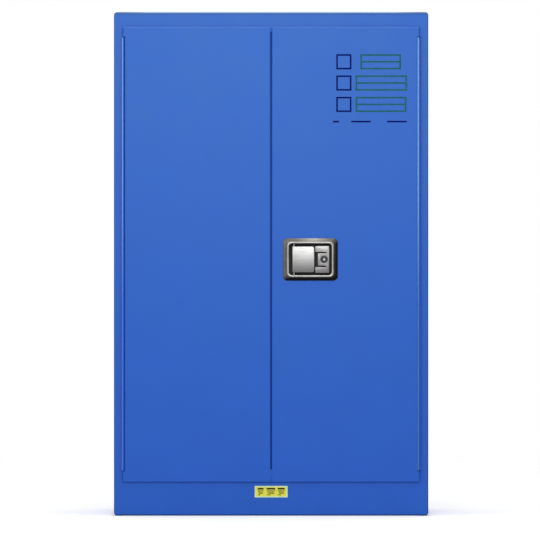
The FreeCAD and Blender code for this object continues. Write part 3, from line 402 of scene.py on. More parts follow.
def cast_pewter(name, colour, upper, bright, roughness, painted_glint=0.0):
    """Casting with painted light: darker below and at the right as painted shade, paler where its
    faces turn up and left as painted highlight, with worn edges paler still.
    """
    material, tree, shader, place = start_material(name, colour, roughness, 0.9)
    light_from = (-0.55, 0.0, 0.83)
    facing_light = add(tree, "VectorMath", {0: add(tree, "TexCoord").outputs["Normal"], 1: light_from},
                 operation="DOT_PRODUCT").outputs["Value"]
    skin = coat_on(tree, place, 1400.0, 40.0)
    worn = edge_wear_and_shade_on(tree, place, 0.0018, 180.0)
    tone = tint(tree, spread(tree, facing_light, -0.25, 0.38),
                tint(tree, skin["Mottle"], scaled(colour, 0.7), scaled(colour, 1.3)),
                tint(tree, skin["Mottle"], scaled(upper, 0.75), scaled(upper, 1.25)))
    # painted highlight near the top middle of the rim
    if painted_glint:
        glint_x, glint_low, glint_high = LATCH_X + 8 * MM, LATCH_Z + 56 * MM, LATCH_Z + 64 * MM
        reach, core = 0.058, 0.010
        where = split(tree, place)
        aside = reckon(tree, "ABSOLUTE", reckon(tree, "SUBTRACT", where["X"], glint_x))
        tone = tint(tree, spread(tree, aside, reach, core), tone, scaled(bright, 1.25),
                    spread(tree, where["Z"], glint_low, glint_high, 0.0, painted_glint))
    tone = tint(tree, worn, tone, bright, 0.7)
    gloss = around(tree, skin["Mottle"], roughness, 0.06, 0.08)
    return end_material(material, shader, tone,
                        reckon(tree, "SUBTRACT", gloss, times(tree, worn, 0.1)),
                        skin["Height"], strength=0.3, distance=0.0001)


def moulded_plastic(name, colour, roughness):
    """Moulded plastic with a soft grain, scuffs and dust."""
    material, tree, shader, place = start_material(name, colour, roughness)
    skin = coat_on(tree, place, 600.0, 9.0)
    scratch = scratches_on(tree, place, 40.0)
    tone = tint(tree, skin["Mottle"], scaled(colour, 0.95), scaled(colour, 1.02))
    tone = tint(tree, scratch, tone, scaled(colour, 0.8), 0.25)
    gloss = around(tree, skin["Mottle"], roughness, 0.05, 0.05)
    return end_material(material, shader, tint(tree, dust_on(tree, place, 0.2), tone, DUST),
                        reckon(tree, "ADD", gloss, times(tree, scratch, 0.15)),
                        skin["Height"], strength=0.15, distance=0.0002)


def matt_strip(name, colour, roughness, grain, specular=0.5):
    """Rubber, graphite or printed ink: one colour with a fine grain."""
    material, tree, shader, place = start_material(name, colour, roughness, 0.0, specular)
    skin = coat_on(tree, place, grain, grain / 12)
    return end_material(material, shader,
                        tint(tree, skin["Mottle"], scaled(colour, 0.8), scaled(colour, 1.15)),
                        around(tree, skin["Speckle"], roughness, 0.07, 0.07),
                        skin["Height"], strength=0.25, distance=0.0001)


PAINT_BLUE = (0.014, 0.086, 0.500)
INNER_BLUE = (0.016, 0.095, 0.500)
# painted highlights and shade on the frame's margins, lighter at the top and crown, darker at the
# crease, corners, sides and foot: margin, share, tone
FRAME_PAINTED_LIGHT = (("Crease", 0.8, (0.003, 0.040, 0.27)), ("Top", 0.8, (0.19, 0.31, 0.60)),
               ("Crown", 0.8, (0.33, 0.46, 0.66)), ("Corners", 0.8, (0.060, 0.100, 0.32)),
               ("Left", 0.8, (0.020, 0.074, 0.32)), ("Right", 0.8, (0.007, 0.045, 0.20)),
               ("Foot", 0.8, (0.006, 0.040, 0.17)))
# painted highlight along the doors' top edge
DOOR_TOP_HIGHLIGHT = (("Top", 0.5, (0.060, 0.160, 0.64)),)
# painted highlights and shade on the hinge knuckles, two light bands and one dark: x from and to,
# share low down, share high up, tone
HINGE_PAINTED_LIGHT_BANDS = ((-0.4885, -0.4850, 0.28, 0.9, (0.135, 0.27, 0.62)),
               (0.4770, 0.4833, 0.38, 0.95, (0.26, 0.52, 0.93)),
               (0.4840, 0.4890, 0.90, 0.9, (0.002, 0.048, 0.29)))
EVEN_GRAIN = (40.0, 40.0, 40.0)

blue_powder_coat = powder_coat("blue_powder_coat", PAINT_BLUE, dust=0.06, fold=0.003, edge_shade=0.25)
frame_blue_coat = powder_coat("frame_blue_coat", PAINT_BLUE, dust=0.10, edge_shade=0.3,
                              margin={"Margin": 0.005, "Foot": 0.0008}, margin_light_tones=FRAME_PAINTED_LIGHT)
door_blue_coat = powder_coat("door_blue_coat", PAINT_BLUE, dust=0.10, fold=0.005,
                             margin={"Foot": -1.0, "Top": DOOR_TOP, "Margin": 0.006},
                             margin_light_tones=DOOR_TOP_HIGHLIGHT)
# hinge coat: the paint a tenth lighter, a lit copy, with painted highlights and shade in bands
hinge_painted_light_coat = powder_coat("hinge_painted_light_coat", scaled(PAINT_BLUE, 1.1), 0.30, 0.45,
                              sheen=(0.6, 0.85, 1.0), bands=HINGE_PAINTED_LIGHT_BANDS)
# dark coat for the line between the doors: painted shade
seam_shade_coat = powder_coat("seam_shade_coat", (0.002, 0.016, 0.20), 0.45, 0.30)
shade_blue_coat = powder_coat("shade_blue_coat", (0.004, 0.045, 0.20), 0.6, 0.05)
inner_blue_coat = powder_coat("inner_blue_coat", INNER_BLUE, 0.48, 0.35, dust=0.15, fold=0.0015,
                              edge_shade=0.3)
yellow_sheet = powder_coat("yellow_printed_sheet", (0.74, 0.70, 0.085), specular=0.3, fold=0.0004,
                           edge_shade=0.5)
zinc_plate = plated_steel("zinc_plate", (0.42, 0.43, 0.445), 0.30, (900.0, 900.0, 30.0))
smoked_steel = plated_steel("smoked_steel", (0.040, 0.040, 0.043), 0.34, EVEN_GRAIN)
strike_steel = plated_steel("blue_passivated_steel", (0.02, 0.07, 0.26), 0.40, EVEN_GRAIN)
turned_brass = plated_steel("turned_brass", (0.74, 0.53, 0.20), 0.25, (40.0, 900.0, 900.0))
bronze_screen = plated_steel("bronze_screen", (0.45, 0.33, 0.17), 0.38, (300.0, 300.0, 300.0))
galvanised = galvanised_sheet("galvanised_sheet", (0.56, 0.58, 0.60))
# paddle and lock plate: painted light, lighter towards their tops
paddle_steel = brushed_stainless("paddle_stainless", (0.48, 0.48, 0.47), (0.13, 0.13, 0.135),
                                 0.788, 0.874, (30.0, 900.0, 700.0), 0.36)
lock_plate_steel = brushed_stainless("lock_plate_stainless", (0.36, 0.355, 0.35),
                                     (0.16, 0.155, 0.16), 0.795, 0.885, (30.0, 900.0, 420.0), 0.40)
plug_steel = lock_plug_steel("plug_steel", (0.03, 0.03, 0.033), (0.46, 0.46, 0.47), 0.30)
# dark pewter of the latch surround, with painted shade and highlight by the way its faces turn and
# a painted highlight near its top
pewter = cast_pewter("pewter_painted_light", (0.006, 0.006, 0.007), (0.15, 0.14, 0.125),
                     (0.34, 0.33, 0.31), 0.40, 0.75)
# paler copy for the rim's crown, with the same painted shade and highlight by the way its faces
# turn
pale_rim_pewter = cast_pewter("pale_rim_pewter", (0.16, 0.155, 0.15), (0.42, 0.41, 0.39),
                            (0.46, 0.45, 0.43), 0.34)
polyethylene = moulded_plastic("white_polyethylene", (0.80, 0.81, 0.80), 0.45)
# black inside the latch recess: painted shade in the hollow
recess_shade_black = matt_strip("recess_shade_black", (0.006, 0.006, 0.007), 0.6, 800.0)
black_rubber = matt_strip("black_rubber", (0.022, 0.022, 0.023), 0.62, 700.0)
graphite_strip = matt_strip("graphite_strip", (0.07, 0.07, 0.072), 0.7, 500.0)
dark_ink = matt_strip("dark_print_ink", (0.012, 0.011, 0.004), 0.6, 900.0, 0.08)
olive_ink = matt_strip("olive_print_ink", (0.20, 0.17, 0.010), 0.6, 900.0, 0.10)
pale_ink = matt_strip("pale_print_ink", (0.60, 0.80, 0.52), 0.6, 900.0, 0.20)
green_ink = matt_strip("green_print_ink", (0.012, 0.110, 0.125), 0.6, 900.0, 0.10)
navy_ink = matt_strip("navy_print_ink", (0.001, 0.006, 0.110), 0.6, 900.0, 0.05)

finish_of_slot = {
    "blue_paint": blue_powder_coat, "liner_paint": inner_blue_coat, "zinc_steel": zinc_plate,
    "galvanised": galvanised, "stainless": lock_plate_steel, "dark_metal": pewter,
    "white_plastic": polyethylene, "rubber": black_rubber, "seal_strip": graphite_strip,
    "brass": turned_brass, "yellow_plate": yellow_sheet, "bronze_mesh": bronze_screen}
finish_of_node = {
    "left_door_skin": door_blue_coat, "right_door_skin": door_blue_coat,
    "left_stile": frame_blue_coat, "right_stile": frame_blue_coat,
    "top_rail": frame_blue_coat, "bottom_rail": frame_blue_coat,
    "hinge_frame_leaves": hinge_painted_light_coat, "left_hinge_door_leaf": hinge_painted_light_coat,
    "right_hinge_door_leaf": hinge_painted_light_coat, "hinge_pins": hinge_painted_light_coat,
    "left_strike": strike_steel, "lock_plug": plug_steel}
for row in frame["record"]["subparts"]:
    coat = finish_of_node.get(row["node"], finish_of_slot[row["material_slot"]])
    for material_slot in frame["nodes"][row["node"]].material_slots:
        material_slot.material = coat


# ------------------------------------------------------------ modelling steps
def clear_choice():
    if bpy.context.mode != "OBJECT":
        bpy.ops.object.mode_set(mode="OBJECT")
    bpy.ops.object.select_all(action="DESELECT")


def choose_only(piece):
    clear_choice()
    piece.select_set(True)
    bpy.context.view_layer.objects.active = piece


def settle(name):
    """Names the new primitive and puts its place into its mesh."""
    piece = bpy.context.object
    piece.name = piece.data.name = name
    bpy.ops.object.transform_apply(location=True, rotation=True, scale=True)
    return piece


def block(name, low, high):
    """A cube primitive stretched between two corners."""
    clear_choice()
    bpy.ops.mesh.primitive_cube_add(size=1, location=[(a + b) / 2 for a, b in zip(low, high)],
                                    scale=[b - a for a, b in zip(low, high)])
    return settle(name)


TURN_ALONG = {0: (0, math.pi / 2, 0), 1: (math.pi / 2, 0, 0), 2: (0, 0, 0)}


def cylinder(name, axis, start, end, across, radius, corners=32):
    """A cylinder primitive along an axis; across holds its middle on the other two axes."""
    clear_choice()
    middle = list(across)
    middle.insert(axis, (start + end) / 2)
    bpy.ops.mesh.primitive_cylinder_add(vertices=corners, radius=radius, depth=end - start,
                                        location=middle, rotation=TURN_ALONG[axis])
    return settle(name)


def pick(piece, kind, test):
    """In edit mode, selects the vertices, edges or faces that pass the test."""
    bpy.ops.mesh.select_mode(type=kind)
    bpy.ops.mesh.select_all(action="DESELECT")
    mesh = bmesh.from_edit_mesh(piece.data)
    for part in {"VERT": mesh.verts, "EDGE": mesh.edges, "FACE": mesh.faces}[kind]:
        if test(part):
            part.select_set(True)
    mesh.select_flush_mode()
    bmesh.update_edit_mesh(piece.data)


def open_mesh(piece):
    choose_only(piece)
    bpy.ops.object.mode_set(mode="EDIT")


def close_mesh():
    bpy.ops.object.mode_set(mode="OBJECT")


def runs_along(axis):
    """Test for edges that are parallel to an axis: 0, 1 or 2."""
    def test(edge):
        line = edge.verts[1].co - edge.verts[0].co
        return abs(line[axis]) > 0.999 * line.length
    return test


def looks(axis, sign, at):
    """Test for faces that look along an axis and lie at a place on it."""
    def test(face):
        return (face.normal[axis] * sign > 0.99
                and abs(face.calc_center_median()[axis] - at) < 1e-5)
    return test


def lies_at(axis, at):
    """Test for edges that lie in a plane across an axis."""
    def test(edge):
        return all(abs(vertex.co[axis] - at) < 1e-5 for vertex in edge.verts)
    return test


def draw_out(x=0, y=0, z=0):
    """Extrudes the picked faces by a shift."""
    bpy.ops.mesh.extrude_region_move(TRANSFORM_OT_translate={"value": (x, y, z)})


def resize(factors, centre):
    bpy.ops.transform.resize(value=factors, center_override=centre)


def round_off(piece, test, radius, segments):
    """Rounds the edges that pass the test."""
    open_mesh(piece)
    pick(piece, "EDGE", test)
    bpy.ops.mesh.bevel(offset=radius, segments=segments, profile=0.5, affect="EDGES")
    close_mesh()


def smooth(piece, angle=38.0):
    choose_only(piece)
    bpy.ops.object.shade_smooth_by_angle(angle=math.radians(angle))


def soften(piece, width, segments=3, angle=32.0):
    """Small rounds on every sharp edge, then smooth shading."""
    choose_only(piece)
    bevel = piece.modifiers.new("soft_edges", "BEVEL")
    bevel.width, bevel.segments = width, segments
    bevel.limit_method, bevel.angle_limit = "ANGLE", math.radians(angle)
    bpy.ops.object.modifier_apply(modifier=bevel.name)
    smooth(piece)


def open_through(piece, wall):
    """Turns a block or disc into a ring along Y with a wall of that thickness."""
    open_mesh(piece)
    pick(piece, "FACE", lambda face: abs(face.normal.y) > 0.99)
    bpy.ops.mesh.inset(thickness=wall, use_individual=True)
    bpy.ops.mesh.delete(type="FACE")
    pick(piece, "EDGE", lambda edge: edge.is_boundary)
    bpy.ops.mesh.bridge_edge_loops()
    bpy.ops.mesh.select_all(action="SELECT")
    bpy.ops.mesh.normals_make_consistent(inside=False)
    close_mesh()


def cut_away(piece, cutter):
    choose_only(piece)
    hole = piece.modifiers.new("cut", "BOOLEAN")
    hole.operation, hole.solver, hole.object = "DIFFERENCE", "EXACT", cutter
    bpy.ops.object.modifier_apply(modifier=hole.name)
    bpy.data.objects.remove(cutter)


def weld(pieces, name):
    """Joins pieces into the first one."""
    clear_choice()
    for piece in pieces:
        piece.select_set(True)
    bpy.context.view_layer.objects.active = pieces[0]
    bpy.ops.object.join()
    pieces[0].name = pieces[0].data.name = name
    return pieces[0]


def copy_to(piece, shift):
    """A copy of a piece with its own mesh, moved by a shift."""
    choose_only(piece)
    bpy.ops.object.duplicate()
    bpy.ops.transform.translate(value=shift)
    return settle(piece.name + "_copy")


def paint(piece, *materials):
    piece.data.materials.clear()
    for material in materials:
        piece.data.materials.append(material)


def paint_faces(piece, index, test):
    """Gives the faces that pass the test the material of that number."""
    open_mesh(piece)
    pick(piece, "FACE", test)
    piece.active_material_index = index
    bpy.ops.object.material_slot_assign()
    close_mesh()


def fit(piece, body, slot, *replaced):
    """Puts a finished piece on its body, in place of the nodes named; the slot is not used."""
    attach(piece, body)
    if replaced:
        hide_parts(*replaced)


def finish(piece, coat, body, slot, *replaced):
    """Gives a piece its coat or ink and fits it."""
    paint(piece, coat)
    fit(piece, body, slot, *replaced)


# ------------------------------------------------------------ latch
PLATE_FACE = -222.0 * MM
RECESS_FLOOR = -198.0 * MM
CUP_BACK = -195.5 * MM
BARREL, BARREL_HOLE, PLUG_HOLE = mm(11.8, 11.85, 6.58)
# width, height and y in millimetres, from the outer edge to the recess floor, then of the cup
SURROUND_EDGE = (179.0, 139.0, -222.4)
SURROUND_STEPS = ((177.4, 137.4, -223.5), (171.0, 131.4, -225.8), (157.6, 120.6, -228.3),
                  (153.0, 116.0, -228.7), (151.2, 114.4, -229.7), (149.4, 112.8, -230.0),
                  (143.6, 107.2, -230.0), (141.0, 104.6, -229.5), (139.4, 103.2, -228.2),
                  (139.0, 103.0, -198.0))
CUP_STEPS = ((144.0, 108.0, -221.0), (144.0, 108.0, -195.5))


def step_in(width, height, y, steps):
    """Extrudes the picked face through steps of width, height and y, about the latch's middle."""
    for new_width, new_height, new_y in steps:
        draw_out(y=new_y * MM - y)
        resize((new_width / width, 1, new_height / height), (LATCH_X, new_y * MM, LATCH_Z))
        width, height, y = new_width, new_height, new_y * MM


def make_latch_surround():
    """Cast surround with a moulded rim, its recess, and the cup behind the door's face."""
    width, height, edge_y = SURROUND_EDGE
    edge_y *= MM
    half_x, half_z = width / 2 * MM, height / 2 * MM
    corner, over = 15 * MM, 4 * MM
    piece = block("latch_surround", (LATCH_X - half_x, edge_y, LATCH_Z - half_z),
                  (LATCH_X + half_x, DOOR_FACE, LATCH_Z + half_z))
    round_off(piece, runs_along(1), corner, 10)
    open_mesh(piece)
    pick(piece, "FACE", looks(1, -1, edge_y))
    step_in(width, height, edge_y, SURROUND_STEPS)
    pick(piece, "FACE", looks(1, 1, DOOR_FACE))
    step_in(width, height, DOOR_FACE, CUP_STEPS)
    close_mesh()
    cut_away(piece, cylinder("barrel_hole", 1, RECESS_FLOOR - over, CUP_BACK + over,
                             (LOCK_X, LATCH_Z), BARREL_HOLE, 64))
    smooth(piece, 30.0)
    paint(piece, pewter, recess_shade_black, pale_rim_pewter)

    recess_x, recess_z, recess_y, crown_y = mm(69.8, 51.8, -228.3, -229.6)

    def inside_recess(face):
        middle = face.calc_center_median()
        return (middle.y > recess_y and abs(middle.x - LATCH_X) < recess_x
                and abs(middle.z - LATCH_Z) < recess_z)
    # the faces inside the recess get the black: painted shade
    paint_faces(piece, 1, inside_recess)
    paint_faces(piece, 2, lambda face: face.calc_center_median().y < crown_y)
    fit(piece, "right_door", "dark_metal", "latch_bezel")


def make_paddle():
    """Folded paddle plate with two hinge barrels bored for the pin."""
    left, right, back = mm(69.5, 141.3, -213.5)
    low, high = LATCH_Z - 42.7 * MM, LATCH_Z + 42.7 * MM
    pin = mm(74.5, -214.5)
    bore, barrel_radius, barrel_long, wall, over, hollow = mm(2.08, 4.5, 20, 2, 2, 6)
    room_front, room_left, room_right = -219.5 * MM, left - 4 * MM, left + 3 * MM
    plate = block("paddle_plate", (left, PLATE_FACE, low), (right, back, high))
    for right_side, radius in ((False, 3 * MM), (True, 7 * MM)):
        round_off(plate, lambda edge: runs_along(1)(edge)
                  and (edge.verts[0].co.x > right - 1 * MM) == right_side, radius, 7)
    open_mesh(plate)
    pick(plate, "FACE", looks(1, 1, back))
    bpy.ops.mesh.inset(thickness=wall)
    draw_out(y=-hollow)
    close_mesh()
    cut_away(plate, block("spring_room", (room_left, room_front, low + wall),
                          (room_right, back + 2 * over, high - wall)))
    cut_away(plate, cylinder("pin_bore", 2, low - over, high + over, pin, bore))
    round_off(plate, lies_at(1, PLATE_FACE), 1.3 * MM, 5)
    barrels = []
    for z in (high - barrel_long, low):
        barrel = cylinder("hinge_barrel", 2, z, z + barrel_long, pin, barrel_radius)
        cut_away(barrel, cylinder("pin_bore", 2, z - over, z + barrel_long + over, pin, bore))
        soften(barrel, 0.5 * MM)
        barrels.append(barrel)
    smooth(plate)
    paddle = weld([plate] + barrels, "paddle_plate")
    finish(paddle, paddle_steel, "paddle", "stainless", "latch_paddle")


def make_lock_face():
    """Folded lock plate with a finger notch, two guard slots and the barrel's hole."""
    left, right, slot_right, notch_right = mm(144.5, 190, 180.5, 153)
    low, high = LATCH_Z - 44 * MM, LATCH_Z + 44 * MM
    notch_half, wall, over = 24.5 * MM, 2 * MM, 4 * MM
    piece = block("lock_face_plate", (left, PLATE_FACE, low), (right, RECESS_FLOOR, high))
    round_off(piece, runs_along(1), 3 * MM, 6)
    open_mesh(piece)
    pick(piece, "FACE", looks(1, 1, RECESS_FLOOR))
    bpy.ops.mesh.inset(thickness=wall)
    draw_out(y=PLATE_FACE + wall - RECESS_FLOOR)
    close_mesh()
    cut_away(piece, block("finger_notch", (left - over, PLATE_FACE - over, LATCH_Z - notch_half),
                          (notch_right, RECESS_FLOOR + over, LATCH_Z + notch_half)))
    for side in (-1, 1):
        z0, z1 = sorted((LATCH_Z + side * notch_half, LATCH_Z + side * (notch_half - 4 * MM)))
        cut_away(piece, block("guard_slot", (left - over, PLATE_FACE - over, z0),
                              (slot_right, PLATE_FACE + wall + 0.5 * MM, z1)))
    cut_away(piece, cylinder("barrel_hole", 1, PLATE_FACE - over, PLATE_FACE + over,
                             (LOCK_X, LATCH_Z), BARREL_HOLE, 64))
    soften(piece, 0.7 * MM)
    finish(piece, lock_plate_steel, "right_door", "stainless", "lock_plate")


def make_lock_barrel():
    """Lock barrel: a ring whose front is sunk between two lips."""
    front, lip, sunk = mm(-224, 1.6, 0.7)
    piece = cylinder("lock_barrel", 1, front, CUP_BACK, (LOCK_X, LATCH_Z), BARREL, 64)
    open_through(piece, BARREL - PLUG_HOLE)
    open_mesh(piece)
    pick(piece, "FACE", looks(1, -1, front))
    bpy.ops.mesh.inset(thickness=lip)
    bpy.ops.transform.translate(value=(0, sunk, 0))
    close_mesh()
    soften(piece, 0.35 * MM, 2)
    finish(piece, smoked_steel, "right_door", "dark_metal", "lock_cylinder")


# ------------------------------------------------------------ prints
def film(name, low, high, front, thickness=0.08 * MM):
    """A thin printed film between two corners (x, z), its back on the plane y = front."""
    return block(name, (low[0], front - thickness, low[1]), (high[0], front, high[1]))


def ring_film(name, low, high, front, line):
    """A printed outline of that line width."""
    piece = film(name, low, high, front)
    open_through(piece, line)
    return piece


def make_rating_plate_print():
    """Pale border, three heading bars and rows of plain dashes on the yellow plate."""
    face = FRAME_FACE - 0.6 * MM
    half_width, half_height, middle, margin = mm(54, 19, 79, 0.6)
    bar_low, bar_high, first_row, row_step, dash_tall = 6.9, 12.3, 4.2, 4.4, 2.8
    border = ring_film("rating_plate_border", (-half_width + margin, middle - half_height + margin),
                       (half_width - margin, middle + half_height - margin), face, 3.2 * MM)
    finish(border, pale_ink, "cabinet", "yellow_plate")
    headings = ((-44.5, -24.5), (-15.0, 13.5), (21.5, 45.0))
    bars = [film("heading_bar", (x0 * MM, middle + bar_low * MM),
                 (x1 * MM, middle + bar_high * MM), face) for x0, x1 in headings]
    for bar in bars:
        round_off(bar, runs_along(1), 0.6 * MM, 3)
    finish(weld(bars, "rating_plate_bars"), dark_ink, "cabinet", "yellow_plate")
    dashes = []
    for x0, x1 in headings:
        for row, (start, length) in enumerate(((0.0, 1.0), (0.08, 0.78), (0.2, 0.7), (0.0, 0.45))):
            left = x0 + (x1 - x0) * start
            top = first_row - row_step * row
            dashes.append(film("plain_dash", (left * MM, middle + (top - dash_tall) * MM),
                               ((left + (x1 - x0) * length) * MM, middle + top * MM), face))
    finish(weld(dashes, "rating_plate_dashes"), olive_ink, "cabinet", "yellow_plate")


def make_contents_panel():
    """Blank contents panel printed on the right door: tick boxes and ruled write-on fields."""
    line, tall, box_left, box_right, rule_low, rule_high = mm(5.5, 50, 213, 263, 1288, 1293.5)
    boxes, fields = [], []
    for row in ((1486.5, 292, 425), (1417, 276, 445), (1347, 276, 443)):
        middle, left, right = mm(*row)
        low, high = middle - tall / 2, middle + tall / 2
        boxes.append(ring_film("tick_box", (box_left, low), (box_right, high), DOOR_FACE, line))
        fields.append(ring_film("write_on_field", (left, low), (right, high), DOOR_FACE, line))
        fields.append(film("field_rule", (left + line, middle - line / 2),
                           (right - line, middle + line / 2), DOOR_FACE))
    for left, right in ((202, 222), (262, 326), (380, 444)):
        boxes.append(film("base_rule", (left * MM, rule_low), (right * MM, rule_high), DOOR_FACE))
    finish(weld(boxes, "contents_tick_boxes"), navy_ink, "right_door", "blue_paint")
    finish(weld(fields, "contents_ruled_fields"), green_ink, "right_door", "blue_paint")


# ------------------------------------------------------------ shell fittings
def make_trim(name, body, low, high, edge, coat):
    """A small strip of painted sheet between two corners in millimetres, used for folded edges and
    for strips of painted shade.
    """
    piece = block(name, mm(*low), mm(*high))
    soften(piece, edge * MM, 2)
    finish(piece, coat, body, "blue_paint")


def make_hinge_end_lips():
    """Folded lips of the jambs that close the slot beyond each end of the hinges."""
    front, back, inner, outer = -209.6, -203, 485.0, 487.6
    lips = []
    for z0, z1 in ((121.5, 147.0), (1568.5, 1591.5)):
        for x0, x1 in ((-outer, -inner), (inner, outer)):
            lips.append(block("jamb_lip", mm(x0, front, z0), mm(x1, back, z1)))
    for lip in lips:
        soften(lip, 0.3 * MM, 2)
    finish(weld(lips, "hinge_end_lips"), frame_blue_coat, "cabinet", "blue_paint")


def make_meeting_lips():
    """Folded lips that close the line between the doors at its top and its foot."""
    front, back, clear, end_round = mm(-220.97, -214.0, 0.05, 2.45)
    low_end, high_end = DOOR_FOOT + clear, DOOR_TOP - clear
    for name, body, x0, x1 in (("left_meeting_lips", "left_door", -4.6, -0.04),
                               ("right_meeting_lips", "right_door", 0.04, 4.6)):
        lips = []
        for z0, z1, end in ((low_end, 152 * MM, low_end), (1584 * MM, high_end, high_end)):
            lip = block(name, (x0 * MM, front, z0), (x1 * MM, back, z1))
            on_face, at_end = lies_at(1, front), lies_at(2, end)
            round_off(lip, lambda edge: on_face(edge) and at_end(edge), end_round, 5)
            soften(lip, 0.06 * MM, 2)
            lips.append(lip)
        finish(weld(lips, name), door_blue_coat, body, "blue_paint")


def make_vent_cap(name, node, side):
    """Vent cap: chamfered flange, turned ring and coin slot, on a hollow threaded plug."""
    low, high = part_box(node)
    middle_y, middle_z = (low.y + high.y) / 2, (low.z + high.z) / 2
    flange, chamfered, plug, wall, hollow = mm(34.0, 32.75, 24.7, 3.0, 15)
    # off the wall by a hair, so the flange never cuts the paint
    inner, outer = side * 515.03 * MM, side * 517.5 * MM
    piece = cylinder(name, 0, *sorted((inner, outer)), (middle_y, middle_z), flange, 96)
    reach = flange

    def push(distance, radius):
        """Extrudes the picked round face by a distance, then gives it a radius."""
        nonlocal reach
        draw_out(x=side * distance)
        resize((1, radius / reach, radius / reach), (outer, middle_y, middle_z))
        reach = radius

    open_mesh(piece)
    pick(piece, "FACE", looks(0, -side, inner))
    push(0, plug)
    ridges, crest, flank, root, deep = 6, 1.1 * MM, 0.7 * MM, 0.5 * MM, 0.7 * MM
    for _ in range(ridges):
        push(-crest, plug)
        push(-flank, plug - deep)
        push(-root, plug - deep)
        push(-flank, plug)
    push(0, plug - wall)
    push(hollow, plug - wall)
    reach = flange
    pick(piece, "FACE", looks(0, side, outer))
    resize((1, chamfered / flange, chamfered / flange), (outer, middle_y, middle_z))
    reach = chamfered
    for distance, radius in ((0, 27.5), (-0.5, 27.0), (0, 25.5), (0.5, 25.0)):
        push(distance * MM, radius * MM)
    close_mesh()
    slot_half, slot_deep, over = mm(2.5, 1.4, 3)
    x0, x1 = sorted((outer - side * slot_deep, outer + side * over))
    cut_away(piece, block("coin_slot", (x0, middle_y - flange - over, middle_z - slot_half),
                          (x1, middle_y + flange + over, middle_z + slot_half)))
    soften(piece, 0.25 * MM, 2)
    paint(piece, zinc_plate, smoked_steel)
    # groove and slot floors in dark steel: painted shade in the hollows
    paint_faces(piece, 1, lambda face: face.normal.x * side > 0.9
                and 0.3 * MM < side * (outer - face.calc_center_median().x) < 1.5 * MM)
    fit(piece, node, "zinc_steel", node)


def make_cover_screws():
    """Raised-head screws with a cross recess, one modelled and the others copied."""
    low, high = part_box("latch_cover_screws")
    head, shank, height, spread_x, spread_z = mm(4.5, 1.9, 2.4, 85, 90)
    seat, top = high.y - height, high.y
    x, z = LATCH_X - spread_x, LATCH_Z - spread_z
    screw = cylinder("cover_screws", 1, seat, top, (x, z), head)
    round_off(screw, lies_at(1, top), 1.1 * MM, 5)
    open_mesh(screw)
    pick(screw, "FACE", looks(1, -1, seat))
    bpy.ops.mesh.inset(thickness=head - shank)
    draw_out(y=low.y - seat)
    close_mesh()
    long, narrow, deep = mm(2.6, 0.55, 1.4)
    for half_x, half_z in ((long, narrow), (narrow, long)):
        cut_away(screw, block("cross_recess", (x - half_x, top - deep, z - half_z),
                              (x + half_x, top + deep, z + half_z)))
    smooth(screw)
    screws = [screw] + [copy_to(screw, shift) for shift in (
        (2 * spread_x, 0, 0), (0, 0, 2 * spread_z), (2 * spread_x, 0, 2 * spread_z))]
    screws = weld(screws, "cover_screws")
    finish(screws, zinc_plate, "right_door", "zinc_steel", "latch_cover_screws")


# ------------------------------------------------------------ inside
def make_gasket():
    """Bulb gasket round the opening: a flat strip with a rounded front."""
    low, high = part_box("frame_gasket")
    strip, bulb = mm(5, 2.2)
    piece = block("door_gasket", low, high)
    open_through(piece, strip)
    round_off(piece, lies_at(1, low.y), bulb, 5)
    smooth(piece, 50.0)
    finish(piece, black_rubber, "cabinet", "rubber", "frame_gasket")


def make_tray(name, body, node):
    """Moulded tray with rounded corners, a rolled rim and a softly dished floor."""
    low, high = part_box(node)
    edge, wall, floor, corner, fillet = mm(2, 4, 4, 18, 5)
    top = high.z - wall
    width, depth = high.x - low.x, high.y - low.y
    piece = block(name, (low.x + edge, low.y + edge, low.z), (high.x - edge, high.y - edge, top))
    round_off(piece, runs_along(2), corner, 8)
    open_mesh(piece)
    pick(piece, "FACE", looks(2, 1, top))
    draw_out()
    resize((width / (width - 2 * edge), depth / (depth - 2 * edge), 1),
           ((low.x + high.x) / 2, (low.y + high.y) / 2, top))
    draw_out(z=wall)
    bpy.ops.mesh.inset(thickness=edge + wall)
    draw_out(z=low.z + floor + fillet - high.z)
    for inset, drop in ((2, 3.4), (4, 1.6)):
        bpy.ops.mesh.inset(thickness=inset * MM)
        bpy.ops.transform.translate(value=(0, 0, -drop * MM))
    close_mesh()
    soften(piece, 1.2 * MM, 3, 30.0)
    finish(piece, polyethylene, body, "white_plastic", node)


make_latch_surround()
make_paddle()
make_lock_face()
make_lock_barrel()
make_rating_plate_print()
make_contents_panel()
make_hinge_end_lips()
# folded return of the right skin's hinge notch, beside the knuckles, lit by a painted highlight
# band of the hinge coat
make_trim("hinge_notch_return", "right_door", (479.3, -218.4, 148.5), (480.85, -212.5, 1567.5),
          0.2, hinge_painted_light_coat)
# dark strip of painted shade on the right stile beside the knuckles, where their shadow falls
make_trim("hinge_shadow_strip", "cabinet", (488.2, -210.45, 149.5), (490.3, -209.9, 1565.5),
          0.15, shade_blue_coat)
# dark strip of painted shade along the foot of the base, the shade beneath it
make_trim("foot_shadow_strip", "cabinet", (-511.5, -209.9, 1.0), (511.5, -208.7, 3.3),
          0.2, shade_blue_coat)
make_meeting_lips()
# set-back lip of the left door's edge in the line between the doors, in a dark coat of painted
# shade
make_trim("meeting_shade_strip", "left_door", (-2.0, -217.0, 152.2), (1.8, -211.5, 1583.8),
          0.3, seam_shade_coat)
make_vent_cap("left_vent_bung", "left_vent_cap", -1)
make_vent_cap("right_vent_bung", "right_vent_cap", 1)
make_cover_screws()
make_gasket()
for tray in ("sump_tray", "lower_tray", "upper_tray"):
    make_tray(tray + "_moulding", tray, tray)


# ------------------------------------------------------------ floor, light and camera
WHITE = (1.0, 1.0, 1.0)


